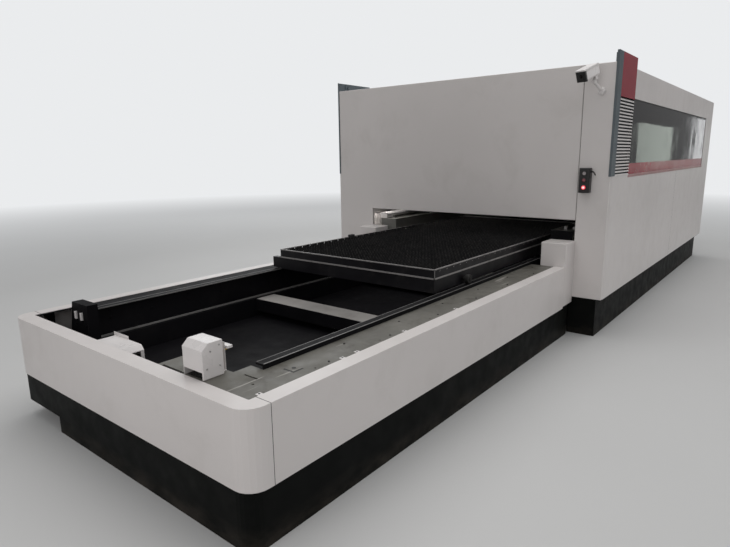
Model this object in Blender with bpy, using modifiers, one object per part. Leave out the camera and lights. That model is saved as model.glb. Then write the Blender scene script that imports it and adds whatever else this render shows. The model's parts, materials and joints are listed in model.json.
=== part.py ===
"""Fibre laser cutting machine with an enclosed bed and an exchange table.

Metres, +Z up. The origin is on the floor under the middle of the whole machine.
+Y runs from the exchange table to the enclosure, +X is the operator's side.
"""

import math

import bmesh
import bpy
from mathutils import Matrix, Vector

# Clearances
FIT = 0.0003
RUN = 0.0006

# Overall layout
TABLE_LENGTH = 3.715
ENCLOSURE_LENGTH = 5.205
ENCLOSURE_TOP = 2.340
ENCLOSURE_BOTTOM = 0.355
TABLE_TOP = 0.658
TABLE_BOTTOM = 0.291
LANE_X = 0.106
SIDE_DECK = 0.301
ENCLOSURE_MARGIN = 0.718

Y_NEAR = -(TABLE_LENGTH + ENCLOSURE_LENGTH) / 2
Y_JOIN = Y_NEAR + TABLE_LENGTH
Y_FAR = Y_JOIN + ENCLOSURE_LENGTH

# Pallets and the channels that carry them
PALLET_LENGTH = 3.2
PALLET_WIDTH = 1.54
PALLET_TOP = 0.851
PALLET_END_AT_REST = -2.497
PALLET_PARKED = 0.80
GRATE_HEIGHT = 0.064
GRATE_BAR = 0.006
FRAME_HEIGHT = 0.1057
FRAME_DEPTH = 0.06
FRAME_SHEET = 0.006
SLAT_PITCH = 0.0955
SLAT_THICKNESS = 0.003
SLAT_TEETH = 10
TOOTH_DEPTH = 0.022
RAIL_TOP = 0.680
RAIL_HEIGHT = 0.200
RAIL_FLANGE = 0.010
RAIL_WEB = 0.008
RAIL_DEPTH = 0.055
RAIL_GAP = 0.015
RAIL_START = 0.355
BRIDGE_END = 0.74
LEVEL_PITCH = RAIL_HEIGHT - RAIL_FLANGE
RAIL_INNER = PALLET_WIDTH / 2 + RAIL_GAP
RAIL_OUTER = RAIL_INNER + RAIL_DEPTH
TABLE_WIDTH = 2 * (RAIL_OUTER + SIDE_DECK)
TABLE_LEFT = LANE_X - TABLE_WIDTH / 2
TABLE_RIGHT = LANE_X + TABLE_WIDTH / 2
ENCLOSURE_WIDTH = TABLE_WIDTH + ENCLOSURE_MARGIN
X_WALL = ENCLOSURE_WIDTH / 2
WHEEL_RADIUS = 0.035
WHEEL_WIDTH = 0.028
WHEEL_PLAY = 0.008
AXLE_RADIUS = 0.014
WHEEL_INSET = 0.42
TOW_WIDTH = 0.095
TOW_LENGTH = 0.047

# Table frame
CROSS_WIDTH = 0.19
CROSS_HEIGHT = 0.10
CROSS_PLACES = (0.195, 1.765, 3.15)
BEAM_HEIGHT = 0.16
BEAM_WIDTH = 0.10
LEG_SIZE = 0.09
FOOT_SIZE = 0.13
FOOT_HEIGHT = 0.012
LEG_COUNT = 5
ARM_SIZE = 0.05
PAN_SHEET = 0.006

# Table covers
SHEET = 0.003
COVER_FLANGE = 0.093
CORNER_RADIUS = 0.10
SEAM_SETBACK = 0.13
COLUMN_DEPTH = 0.222
COLUMN_WIDTH = 0.220
COLUMN_TOP = 0.863
COLUMN_BOTTOM_STEP = 0.012
SKIRT_INSETS = {"left": 0.012, "right": 0.030}
SKIRT_NEAR = 0.008
SKIRT_CORNER = 0.078
SKIRT_THICKNESS = 0.012
KICK_HEIGHT = 0.11
KICK_RECESS = 0.008
HOSE_GAP = 0.475
LEDGE_THICKNESS = 0.006
LEDGE_STRIP = 0.105

# Pallet drive
CHAIN_OFFSET = 0.0425
SPROCKET_TEETH = 16
SPROCKET_RADIUS = 0.058
SPROCKET_WIDTH = 0.016
SHAFT_RADIUS = 0.016
CHAIN_WIDTH = 0.024
CHAIN_HEIGHT = 0.018
CHAIN_LINKS = 36
SHAFT_Y = 0.175
SHAFT_Z = 0.545
MOTOR_RADIUS = 0.062
MOTOR_FACE = LANE_X - 0.03

# Enclosure
PANEL = 0.040
PLINTH_SETBACK = 0.060
GATE_BOTTOM = 1.044
SIDE_BAND_LOW = 1.425
SIDE_BAND_HIGH = ENCLOSURE_TOP - 0.25
FRAME_LAP = 0.010
TRIM_SIDE = 0.115
TRIM_FRONT = 0.015
TRIM_TOP = ENCLOSURE_TOP + 0.09
TRIM_PROUD = 0.004
LOUVRE_WIDTH = 0.450
LOUVRE_SLATS = 24
WINDOW_END = 3.90
STRIP_HEIGHT = 0.100
GLASS_THICKNESS = 0.010
GLASS_RECESS = 0.003
GATE_TRAVEL = 0.175
GATE_HEIGHT = 0.42
GATE_THICKNESS = 0.012
ROOF_SHEET = 0.030

# Service doors on the far side
DOOR_LOW = 0.50
DOOR_HIGH = ENCLOSURE_TOP - 0.29
DOOR_WIDTH = 0.95
DOOR_PLACES = (0.60, 2.60)
DOOR_GAP = 0.005
HINGE_RADIUS = 0.004
HINGE_LENGTH = 0.030
HINGE_SHARES = (0.08, 0.48, 0.88)
VENT_COUNT = 8
VENT_PITCH = 0.030

# Machine bed and gantry
BED_CLEARANCE = 0.040
BED_WIDTH = 0.20
BED_BOTTOM = 0.05
BED_TOP = 0.93
BED_START = 0.060
BED_END = 0.10
GUIDE_WIDTH = 0.030
GUIDE_HEIGHT = 0.030
GANTRY_Y = 2.35
GANTRY_TRAVEL = 1.45
GANTRY_BEAM_LOW = 1.060
GANTRY_BEAM_HEIGHT = 0.22
GANTRY_BEAM_DEPTH = 0.16
FOOT_LENGTH = 0.34
CARRIAGE_WIDTH = 0.22
CARRIAGE_X = 0.106
CARRIAGE_TRAVEL = 0.68
HEAD_TRAVEL = 0.06
HEAD_CLEARANCE = 0.055
LIFT_CROSS_PLACES = (1.25, 3.45)
ROD_RADIUS = 0.030
CYLINDER_WALL = 0.012
CYLINDER_BOTTOM = 0.060

# Small fittings on the front
BOX_WIDTH = 0.090
BOX_HEIGHT = 0.210
BOX_DEPTH = 0.060
BOX_X = X_WALL - 0.194
BOX_BOTTOM = 1.288
BUTTON_RADIUS = 0.015
BUTTON_TRAVEL = 0.004
CAMERA_X = X_WALL - 0.116
CAMERA_Z = ENCLOSURE_TOP - 0.22
CAMERA_REACH = 0.100
CAMERA_LENGTH = 0.185
CAMERA_SIZE = 0.086
CAMERA_TURN = math.radians(-18)
CAMERA_TILT = math.radians(22)
CAMERA_REAR = 0.026

OBJECT_NAME = "fibre_laser_cutting_machine"


def clear_scene():
    for obj in list(bpy.data.objects):
        bpy.data.objects.remove(obj, do_unlink=True)


def make_collection(name):
    collection = bpy.data.collections.new(name)
    bpy.context.scene.collection.children.link(collection)
    return collection


clear_scene()
PARTS = make_collection(OBJECT_NAME)
CUTTERS = make_collection("cutters")


def material(name, color, roughness, metallic=0.0):
    mat = bpy.data.materials.new(name)
    mat.use_nodes = True
    shader = mat.node_tree.nodes["Principled BSDF"]
    shader.inputs["Base Color"].default_value = (*color, 1.0)
    shader.inputs["Roughness"].default_value = roughness
    shader.inputs["Metallic"].default_value = metallic
    mat.diffuse_color = (*color, 1.0)
    return mat


WHITE = material("white_paint", (0.62, 0.60, 0.59), 0.35)
BLACK = material("black_paint", (0.012, 0.014, 0.013), 0.3)
PALLET_BLACK = material("pallet_steel", (0.03, 0.03, 0.035), 0.5, 0.6)
GREY = material("grey_steel", (0.25, 0.25, 0.24), 0.45, 0.4)
TRIM = material("blue_grey_trim", (0.07, 0.08, 0.1), 0.4)
RED = material("red_panel", (0.2, 0.015, 0.03), 0.25)
GLASS = material("dark_window", (0.01, 0.01, 0.012), 0.05)
STEEL = material("bright_steel", (0.6, 0.6, 0.6), 0.25, 1.0)
ALUMINIUM = material("aluminium", (0.55, 0.56, 0.57), 0.35, 0.9)
BRASS = material("copper_nozzle", (0.7, 0.35, 0.18), 0.3, 1.0)
PLASTIC = material("black_plastic", (0.02, 0.02, 0.02), 0.45)
LAMP_WHITE = material("white_button", (0.8, 0.8, 0.78), 0.3)
LAMP_PINK = material("pink_button", (0.75, 0.35, 0.4), 0.3)
LAMP_RED = material("red_button", (0.8, 0.05, 0.04), 0.3)


def add_object(name, mesh, mat, collection=None):
    obj = bpy.data.objects.new(name, mesh)
    (collection or PARTS).objects.link(obj)
    if mat is not None:
        mesh.materials.append(mat)
    return obj


def hide_cutter(obj):
    obj.hide_render = True
    obj.display_type = "WIRE"
    return obj


def box(name, low, high, mat=None, collection=None):
    """A block between two corners."""
    low = Vector(low)
    high = Vector(high)
    bm = bmesh.new()
    size = high - low
    place = Matrix.Translation((low + high) / 2) @ Matrix.Diagonal((*size, 1.0))
    bmesh.ops.create_cube(bm, size=1.0, matrix=place)
    mesh = bpy.data.meshes.new(name)
    bm.to_mesh(mesh)
    bm.free()
    return add_object(name, mesh, mat, collection)


TURNS = {
    "XY": Matrix.Identity(4),
    "XZ": Matrix(((1, 0, 0, 0), (0, 0, -1, 0), (0, 1, 0, 0), (0, 0, 0, 1))),
    "YZ": Matrix(((0, 0, 1, 0), (1, 0, 0, 0), (0, 1, 0, 0), (0, 0, 0, 1))),
}


def prism(name, outline, plane, start, end, mat=None, collection=None, holes=()):
    """A flat outline in one of the three planes, drawn out from start to end along the third axis."""
    curve = bpy.data.curves.new(name, "CURVE")
    curve.dimensions = "2D"
    curve.fill_mode = "BOTH"
    curve.extrude = abs(end - start) / 2
    for points in (outline, *holes):
        spline = curve.splines.new("POLY")
        spline.points.add(len(points) - 1)
        for point, (a, b) in zip(spline.points, points):
            point.co = (a, b, 0.0, 1.0)
        spline.use_cyclic_u = True
    guide = bpy.data.objects.new(name + "_outline", curve)
    bpy.context.scene.collection.objects.link(guide)
    bpy.context.view_layer.update()
    depsgraph = bpy.context.evaluated_depsgraph_get()
    mesh = bpy.data.meshes.new_from_object(guide.evaluated_get(depsgraph))
    bpy.data.objects.remove(guide, do_unlink=True)
    mesh.name = name
    middle = (start + end) / 2
    shift = {"XY": (0, 0, middle), "XZ": (0, middle, 0), "YZ": (middle, 0, 0)}[plane]
    mesh.transform(Matrix.Translation(shift) @ TURNS[plane])
    bm = bmesh.new()
    bm.from_mesh(mesh)
    bmesh.ops.remove_doubles(bm, verts=bm.verts, dist=0.00002)
    bmesh.ops.recalc_face_normals(bm, faces=bm.faces)
    bm.to_mesh(mesh)
    bm.free()
    mesh.materials.clear()
    return add_object(name, mesh, mat, collection)


def turned(name, profile, mat=None, collection=None, steps=24):
    """A profile of (radius, height) points, top to bottom, turned round Z at the origin."""
    mesh = bpy.data.meshes.new(name)
    mesh.from_pydata([(r, 0.0, z) for r, z in profile], [(i, i + 1) for i in range(len(profile) - 1)], [])
    obj = add_object(name, mesh, mat, collection)
    screw = obj.modifiers.new("turn", "SCREW")
    screw.axis = "Z"
    screw.steps = steps
    screw.render_steps = steps
    screw.use_merge_vertices = True
    screw.merge_threshold = 0.00005
    return obj


def settle(obj, matrix=None):
    """Replace an object by its evaluated mesh, moved by a matrix."""
    bpy.context.view_layer.update()
    depsgraph = bpy.context.evaluated_depsgraph_get()
    mesh = bpy.data.meshes.new_from_object(obj.evaluated_get(depsgraph))
    mesh.transform((matrix or Matrix.Identity(4)) @ obj.matrix_world)
    obj.modifiers.clear()
    obj.data = mesh
    obj.matrix_world = Matrix.Identity(4)
    return obj


def set_origin(obj, origin):
    """Put an object's origin on its joint's axis and leave the shape where it is."""
    obj.data.transform(Matrix.Translation(-Vector(origin)))
    obj.location = origin
    return obj


def add_boolean(obj, other, operation):
    hide_cutter(other)
    modifier = obj.modifiers.new(operation.lower() + "_" + other.name, "BOOLEAN")
    modifier.operation = operation
    modifier.solver = "EXACT"
    modifier.object = other
    return obj


def cut(obj, *others):
    for other in others:
        add_boolean(obj, other, "DIFFERENCE")
    return obj


def unite(obj, *others):
    for other in others:
        add_boolean(obj, other, "UNION")
    return obj


def round_edges(obj, width, segments=2, angle=60):
    bevel = obj.modifiers.new("bevel", "BEVEL")
    bevel.width = width
    bevel.segments = segments
    bevel.limit_method = "ANGLE"
    bevel.angle_limit = math.radians(angle)
    return obj


def repeat(obj, count, step):
    array = obj.modifiers.new("repeat", "ARRAY")
    array.count = count
    array.use_relative_offset = False
    array.use_constant_offset = True
    array.constant_offset_displace = step
    array.use_merge_vertices = False
    return obj


def helper_box(name, low, high):
    return hide_cutter(box(name, low, high, None, CUTTERS))


def arc(centre, radius, start, end, count):
    """Points on an arc, angles in degrees."""
    points = []
    for i in range(count + 1):
        angle = math.radians(start + (end - start) * i / count)
        points.append((centre[0] + radius * math.cos(angle), centre[1] + radius * math.sin(angle)))
    return points


def rectangle(low, high):
    return [(low[0], low[1]), (high[0], low[1]), (high[0], high[1]), (low[0], high[1])]


def mirrored(points, sign, middle=0.0):
    """Points given from a middle line outward, put on the side that sign names."""
    return [(middle + sign * a, b) for a, b in points]


def channel_outline(inner, outer, low, high, flange, web):
    """A channel section that opens towards the middle line."""
    return [(inner, low), (outer, low), (outer, high), (inner, high),
            (inner, high - flange), (outer - web, high - flange),
            (outer - web, low + flange), (inner, low + flange)]


SIDES = (("left", -1), ("right", 1))


# Exchange table: rails

def make_table_rails():
    outline = channel_outline(RAIL_INNER, RAIL_OUTER, RAIL_TOP - RAIL_HEIGHT, RAIL_TOP, RAIL_FLANGE, RAIL_WEB)
    for side, sign in SIDES:
        prism("table_rail_" + side, mirrored(outline, sign, LANE_X), "XZ",
              Y_NEAR + RAIL_START, Y_JOIN - FIT, BLACK)


def make_rail_end_tower():
    """Black end tower in front of the left rail."""
    foot = 0.065
    top = 0.722
    inner = RAIL_INNER - 0.045
    outer = RAIL_OUTER + 0.165
    low = beam_top() + FIT
    outline = [(inner, low), (inner, top), (outer - foot, top), (outer, low)]
    y_back = Y_NEAR + RAIL_START - FIT
    tower = prism("rail_end_tower", mirrored(outline, -1, LANE_X), "XZ", y_back - 0.07, y_back, BLACK)
    hole = rectangle((RAIL_INNER + 0.02, 0.60), (RAIL_INNER + 0.05, 0.67))
    slot = prism("tower_slots", mirrored(hole, -1, LANE_X), "XZ", y_back - 0.08, y_back - 0.045, None, CUTTERS)
    repeat(slot, 2, (-0.075, 0, 0))
    cut(tower, slot)
    return tower


# Exchange table: welded frame

def beam_top():
    return RAIL_TOP - RAIL_HEIGHT - FIT


def table_frame_span():
    return Y_NEAR + SHEET + FIT, Y_JOIN - 0.02


def arm_low():
    return beam_top() - BEAM_HEIGHT + 0.01


def leg_places():
    start, end = table_frame_span()
    first = start + 0.20
    last = end - 0.16
    return [first + (last - first) * i / (LEG_COUNT - 1) for i in range(LEG_COUNT)]


def make_table_frame():
    start, end = table_frame_span()
    top = beam_top()
    middle = (RAIL_INNER + RAIL_OUTER) / 2
    post_outer = TABLE_WIDTH / 2 - SHEET - FIT
    post_inner = post_outer - ARM_SIZE
    frame = None
    for side, sign in SIDES:
        x = LANE_X + sign * middle
        beam = box("table_frame" if frame is None else "table_beam_" + side,
                   (x - BEAM_WIDTH / 2, start + 0.065, top - BEAM_HEIGHT), (x + BEAM_WIDTH / 2, end, top),
                   GREY, None if frame is None else CUTTERS)
        if frame is None:
            frame = beam
        else:
            unite(frame, beam)
        for i, y in enumerate(leg_places()):
            half = LEG_SIZE / 2
            leg = helper_box(f"leg_{side}_{i}", (x - half, y - half, 0.004),
                             (x + half, y + half, top - BEAM_HEIGHT / 2))
            pad = FOOT_SIZE / 2
            foot = helper_box(f"foot_{side}_{i}", (x - pad, y - pad, 0), (x + pad, y + pad, FOOT_HEIGHT))
            low = arm_low()
            xs = sorted((x, LANE_X + sign * post_outer))
            arm = helper_box(f"arm_{side}_{i}", (xs[0], y - 0.03, low), (xs[1], y + 0.03, low + ARM_SIZE))
            xs = sorted((LANE_X + sign * post_inner, LANE_X + sign * post_outer))
            post = helper_box(f"post_{side}_{i}", (xs[0], y - 0.024, low + 0.004),
                              (xs[1], y + 0.024, ledge_top() - LEDGE_THICKNESS - FIT))
            unite(frame, leg, foot, arm, post)
    for i, place in enumerate(CROSS_PLACES):
        y = Y_NEAR + place
        cross = helper_box(f"cross_{i}", (LANE_X - middle, y - CROSS_WIDTH / 2, top - 0.003 - CROSS_HEIGHT),
                           (LANE_X + middle, y + CROSS_WIDTH / 2, top - 0.003))
        unite(frame, cross)
    near = helper_box("near_member", (LANE_X - post_outer + 0.11, start, arm_low() - 0.0001),
                      (LANE_X + post_outer - 0.11, start + 0.08, top - 0.05))
    low = arm_low() - PAN_SHEET + 0.002
    wide = TABLE_WIDTH / 2 - 0.056
    narrow = TABLE_WIDTH / 2 - COLUMN_WIDTH - 0.006
    step = Y_JOIN - COLUMN_DEPTH - 0.005
    outline = [(-wide, start + 0.06), (wide, start + 0.06), (wide, step), (narrow, step), (narrow, end - 0.001),
               (-narrow, end - 0.001), (-narrow, step), (-wide, step)]
    pan = prism("drip_pan", mirrored(outline, 1, LANE_X), "XY", low, low + PAN_SHEET, None, CUTTERS)
    unite(frame, pan)
    return frame


# Exchange table: ledges and covers

def ledge_top():
    return TABLE_TOP - SHEET - FIT


def make_ledges():
    """Grey deck plates beside the rails, with slots and holes."""
    top = ledge_top()
    outer = TABLE_WIDTH / 2 - SHEET - FIT
    inner = RAIL_OUTER + FIT
    y_near = Y_NEAR + SHEET + FIT
    y_end = Y_JOIN - COLUMN_DEPTH - FIT
    x_out = LANE_X + outer
    rail_y = Y_NEAR + RAIL_START - FIT
    back_y = Y_NEAR + 0.250
    edge = LANE_X + RAIL_INNER
    corner = CORNER_RADIUS - SHEET - FIT
    outline = [(edge - 0.415, y_near), *arc((x_out - corner, y_near + corner), corner, -90, 0, 6), (x_out, y_end),
               (LANE_X + inner, y_end), (LANE_X + inner, rail_y), (edge - 0.035, rail_y), (edge - 0.035, back_y),
               (edge - 0.415, back_y)]
    holes = [rectangle((edge - 0.385, Y_NEAR + 0.055), (edge - 0.21, Y_NEAR + 0.113)),
             rectangle((edge + 0.029, Y_NEAR + 0.258), (edge + 0.118, Y_NEAR + 0.268)),
             arc((edge + 0.147, Y_NEAR + 0.213), 0.007, 0, 315, 7)]
    for i in range(6):
        y = rail_y + 0.16 + i * 0.5
        holes.append(arc((x_out - 0.12, y), 0.006, 0, 300, 5))
    prism("ledge_right", outline, "XY", top - LEDGE_THICKNESS, top, GREY, None, holes)
    x_out = LANE_X - outer
    strip = x_out + LEDGE_STRIP
    left_y = Y_NEAR + RAIL_START + 0.002
    left = [(strip, y_near), (strip, left_y), (LANE_X - inner, left_y), (LANE_X - inner, y_end), (x_out, y_end),
            *arc((x_out + corner, y_near + corner), corner, 180, 270, 6)]
    prism("ledge_left", left, "XY", top - LEDGE_THICKNESS, top, GREY)


def u_path(half, y_front, y_back, radius, steps=6):
    """An open path from the right seam round the near end to the left seam."""
    points = [(LANE_X + half, y_back)]
    points += arc((LANE_X + half - radius, y_front + radius), radius, 0, -90, steps)
    points += arc((LANE_X - half + radius, y_front + radius), radius, -90, -180, steps)
    points.append((LANE_X - half, y_back))
    return points


def u_wall(name, half, y_front, y_back, radius, start, end, low, high, mat=None, collection=None):
    """A wall that follows the near end, between two insets from the outer face."""
    outer = u_path(half - start, y_front + start, y_back, max(radius - start, 0.004))
    inner = u_path(half - end, y_front + end, y_back, max(radius - end, 0.004))
    return prism(name, outer + inner[::-1], "XY", low, high, mat, collection)


def make_table_covers():
    half = TABLE_WIDTH / 2
    seam = Y_NEAR + SEAM_SETBACK
    cover = u_wall("near_cover", half, Y_NEAR, seam, CORNER_RADIUS, 0, SHEET, TABLE_BOTTOM, TABLE_TOP, WHITE)
    flange = u_wall("near_flange", half, Y_NEAR, seam - 0.0004, CORNER_RADIUS, 0.001, COVER_FLANGE,
                    TABLE_TOP - SHEET, TABLE_TOP - 0.0002, None, CUTTERS)
    unite(cover, flange)
    section = [(half, TABLE_BOTTOM), (half, TABLE_TOP), (half - COVER_FLANGE, TABLE_TOP),
               (half - COVER_FLANGE, TABLE_TOP - SHEET), (half - SHEET, TABLE_TOP - SHEET), (half - SHEET, TABLE_BOTTOM)]
    y_end = Y_JOIN - COLUMN_DEPTH - FIT
    for side, sign in SIDES:
        prism(side + "_cover", mirrored(section, sign, LANE_X), "XZ", seam + FIT, y_end, WHITE)
        xs = sorted((LANE_X + sign * half, LANE_X + sign * (half - COLUMN_WIDTH)))
        column = box("column_cover_" + side, (xs[0], Y_JOIN - COLUMN_DEPTH, TABLE_BOTTOM + COLUMN_BOTTOM_STEP),
                     (xs[1], Y_JOIN + 0.006, COLUMN_TOP), WHITE)
        back = helper_box("column_back_" + side, (xs[0] - 0.01, Y_JOIN - FIT, 0.2), (xs[1] + 0.01, Y_JOIN + 0.02, 1.0))
        inside = helper_box("column_hollow_" + side, (xs[0] + SHEET, Y_JOIN - COLUMN_DEPTH + SHEET, 0.2),
                            (xs[1] - SHEET, Y_JOIN + 0.01, COLUMN_TOP - SHEET))
        x_inner = LANE_X + sign * (half - COLUMN_WIDTH)
        y_arm = leg_places()[-1]
        notch = helper_box("column_notch_" + side, (x_inner - 0.02, y_arm - 0.04, 0.19),
                           (x_inner + 0.02, y_arm + 0.04, 0.40))
        inset = SKIRT_INSETS[side]
        xs = sorted((LANE_X + sign * (half - inset + 0.004), LANE_X + sign * (half - inset - SKIRT_THICKNESS - 0.004)))
        slit = helper_box("column_slit_" + side, (xs[0], Y_JOIN - COLUMN_DEPTH - 0.02, 0.18),
                          (xs[1], Y_JOIN - COLUMN_DEPTH + 0.02, arm_low() + 0.004))
        round_edges(column, 0.004, 1)
        cut(column, inside, notch, slit, back)


def skirt_path(inset):
    """The skirt's path from its right end round the near end to its left end, moved inwards by an inset."""
    right = TABLE_RIGHT - SKIRT_INSETS["right"] - inset
    left = TABLE_LEFT + SKIRT_INSETS["left"] + inset
    front = Y_NEAR + SKIRT_NEAR + inset
    radius = SKIRT_CORNER - inset
    points = [(right, Y_JOIN - 0.01)]
    points += arc((right - radius, front + radius), radius, 0, -90, 6)
    points += arc((left + radius, front + radius), radius, -90, -180, 6)
    points.append((left, Y_JOIN - 0.01))
    return points


def make_table_skirt():
    """Black skirt, with a recessed kick strip along the near end and a way out for the hoses at its left."""
    front = Y_NEAR + SKIRT_NEAR
    outline = skirt_path(0.0) + skirt_path(SKIRT_THICKNESS)[::-1]
    skirt = prism("table_skirt", outline, "XY", 0.0, arm_low() - FIT, BLACK)
    kick = helper_box("kick_recess", (TABLE_LEFT + 0.20, front - 0.05, -0.05),
                      (TABLE_RIGHT - SKIRT_INSETS["right"] - SKIRT_CORNER, front + KICK_RECESS, KICK_HEIGHT))
    hose = helper_box("hose_gap", (TABLE_LEFT - 0.05, front - 0.06, -0.06),
                      (TABLE_LEFT + HOSE_GAP, front + 0.12, KICK_HEIGHT - 0.001))
    cut(skirt, kick, hose)
    return skirt


# Pallet drive

def drive_line():
    """The chain's X place, beside the rail and under the deck plate."""
    return LANE_X + RAIL_OUTER + CHAIN_OFFSET


def tooth_outline(teeth, radius, depth):
    points = []
    for i in range(teeth):
        for share, reach in ((0.0, -depth), (0.3, -depth), (0.5, 0.0), (0.8, 0.0)):
            angle = 2 * math.pi * (i + share) / teeth
            points.append(((radius + reach) * math.cos(angle), (radius + reach) * math.sin(angle)))
    return points


def make_sprocket_shaft(name, length, y, z, mat, flange_at):
    """A sprocket on its shaft. The shaft runs from the chain line towards the middle of the table."""
    x = drive_line()
    radius = SPROCKET_RADIUS - CHAIN_HEIGHT / 2 - RUN
    collar = SHAFT_RADIUS + 0.012
    profile = [(0, 0.03), (SHAFT_RADIUS, 0.03), (SHAFT_RADIUS, flange_at), (collar, flange_at),
               (collar, flange_at - 0.02), (SHAFT_RADIUS, flange_at - 0.02), (SHAFT_RADIUS, -length), (0, -length)]
    shaft = turned(name, profile, mat, None, 16)
    settle(shaft, Matrix.Translation((x, y, z)) @ Matrix.Rotation(math.pi / 2, 4, "Y"))
    disc = prism(name + "_disc", tooth_outline(SPROCKET_TEETH, radius, 0.007), "YZ",
                 -SPROCKET_WIDTH / 2, SPROCKET_WIDTH / 2, None, CUTTERS)
    disc.data.transform(Matrix.Translation((x, y, z)))
    unite(shaft, disc)
    return shaft


def make_pallet_drive():
    y_near = Y_NEAR + SHAFT_Y
    y_far = Y_JOIN - COLUMN_DEPTH - 0.12
    motor_face = MOTOR_FACE
    length = drive_line() - motor_face - FIT
    shaft = make_sprocket_shaft("drive_shaft", length, y_near, SHAFT_Z, STEEL, -0.08)
    settle(shaft)
    set_origin(shaft, (drive_line(), y_near, SHAFT_Z))
    idler = make_sprocket_shaft("chain_idler", 0.04, y_far, SHAFT_Z, STEEL, -0.012)
    settle(idler)
    set_origin(idler, (drive_line(), y_far, SHAFT_Z))
    outer = SPROCKET_RADIUS + CHAIN_HEIGHT / 2
    inner = SPROCKET_RADIUS - CHAIN_HEIGHT / 2
    waist = 0.004
    link = (y_far - y_near) / CHAIN_LINKS
    upper = []
    for i in range(CHAIN_LINKS + 1):
        drop = waist if i % 2 else 0.0
        upper.append((y_far - i * link, drop))
    ring = [(y, SHAFT_Z + outer - drop) for y, drop in upper]
    ring += arc((y_near, SHAFT_Z), outer, 90, 270, 10)[1:-1]
    ring += [(y, SHAFT_Z - outer + drop) for y, drop in upper[::-1]]
    ring += arc((y_far, SHAFT_Z), outer, -90, 90, 10)[1:-1]
    hole = arc((y_near, SHAFT_Z), inner, 90, 270, 10) + arc((y_far, SHAFT_Z), inner, -90, 90, 10)
    x = drive_line()
    prism("drive_chain", ring, "YZ", x - CHAIN_WIDTH / 2, x + CHAIN_WIDTH / 2, STEEL, None, [hole])
    make_drive_motor(motor_face, y_near)


def make_drive_motor(face, y):
    """Gearmotor on a plate that stands on the near cross member."""
    profile = [(0, 0.0), (0.045, 0.0), (0.045, -0.03), (MOTOR_RADIUS, -0.03), (MOTOR_RADIUS, -0.20),
               (0.05, -0.215), (0, -0.215)]
    motor = turned("drive_motor", profile, GREY, None, 24)
    settle(motor, Matrix.Translation((face, y, SHAFT_Z)) @ Matrix.Rotation(math.pi / 2, 4, "Y"))
    foot = helper_box("motor_foot", (face - 0.19, y - 0.05, beam_top() - 0.003 + FIT),
                      (face - 0.05, y + 0.05, SHAFT_Z - 0.03))
    unite(motor, foot)
    return motor


def make_stop_cover():
    """White cover of the pallet stop, with its near top edge cut away and an open foot."""
    low = ledge_top() + FIT
    y_front = Y_NEAR + 0.100
    y_back = y_front + 0.115
    top = 0.822
    x_low = LANE_X + RAIL_INNER - 0.201
    x_high = LANE_X + RAIL_INNER - 0.051
    outline = [(y_front, low), (y_back, low), (y_back, top), (y_front + 0.033, top), (y_front, top - 0.030)]
    cover = prism("stop_cover", outline, "YZ", x_low, x_high, WHITE)
    round_edges(cover, 0.003, 1)
    hollow = helper_box("stop_cover_hollow", (x_low + SHEET * 2, y_front - 0.02, low - 0.02),
                        (x_high - SHEET * 2, y_back - SHEET * 3, low + 0.037))
    cut(cover, hollow)
    return cover


def make_motor_cover():
    """Low white cover over the gearmotor."""
    top = 0.625
    x_low = MOTOR_FACE - 0.320
    x_high = MOTOR_FACE + 0.005
    y_low = Y_NEAR + SHAFT_Y - 0.076
    y_high = Y_NEAR + SHAFT_Y + 0.074
    low = beam_top() - 0.003 + FIT
    outline = [(x_low, low), (x_high, low), (x_high, top - 0.025), (x_high - 0.025, top), (x_low + 0.03, top),
               (x_low, top - 0.025)]
    cover = prism("motor_cover", outline, "XZ", y_low, y_high, WHITE)
    inner = [(x_low + SHEET, 0.30), (x_high - SHEET, 0.30), (x_high - SHEET, top - 0.027), (x_high - 0.027, top - SHEET),
             (x_low + 0.032, top - SHEET), (x_low + SHEET, top - 0.027)]
    hollow = prism("motor_cover_hollow", inner, "XZ", y_low + SHEET, y_high - SHEET, None, CUTTERS)
    exit_hole = helper_box("motor_cover_exit", (x_high - 0.02, Y_NEAR + SHAFT_Y - 0.055, 0.30),
                           (x_high + 0.02, Y_NEAR + SHAFT_Y + 0.055, SHAFT_Z + 0.05))
    cut(cover, hollow, exit_hole)
    return cover


# Pallets

def pallet_frame_low():
    return PALLET_TOP - GRATE_HEIGHT - FIT - FRAME_HEIGHT


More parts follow.
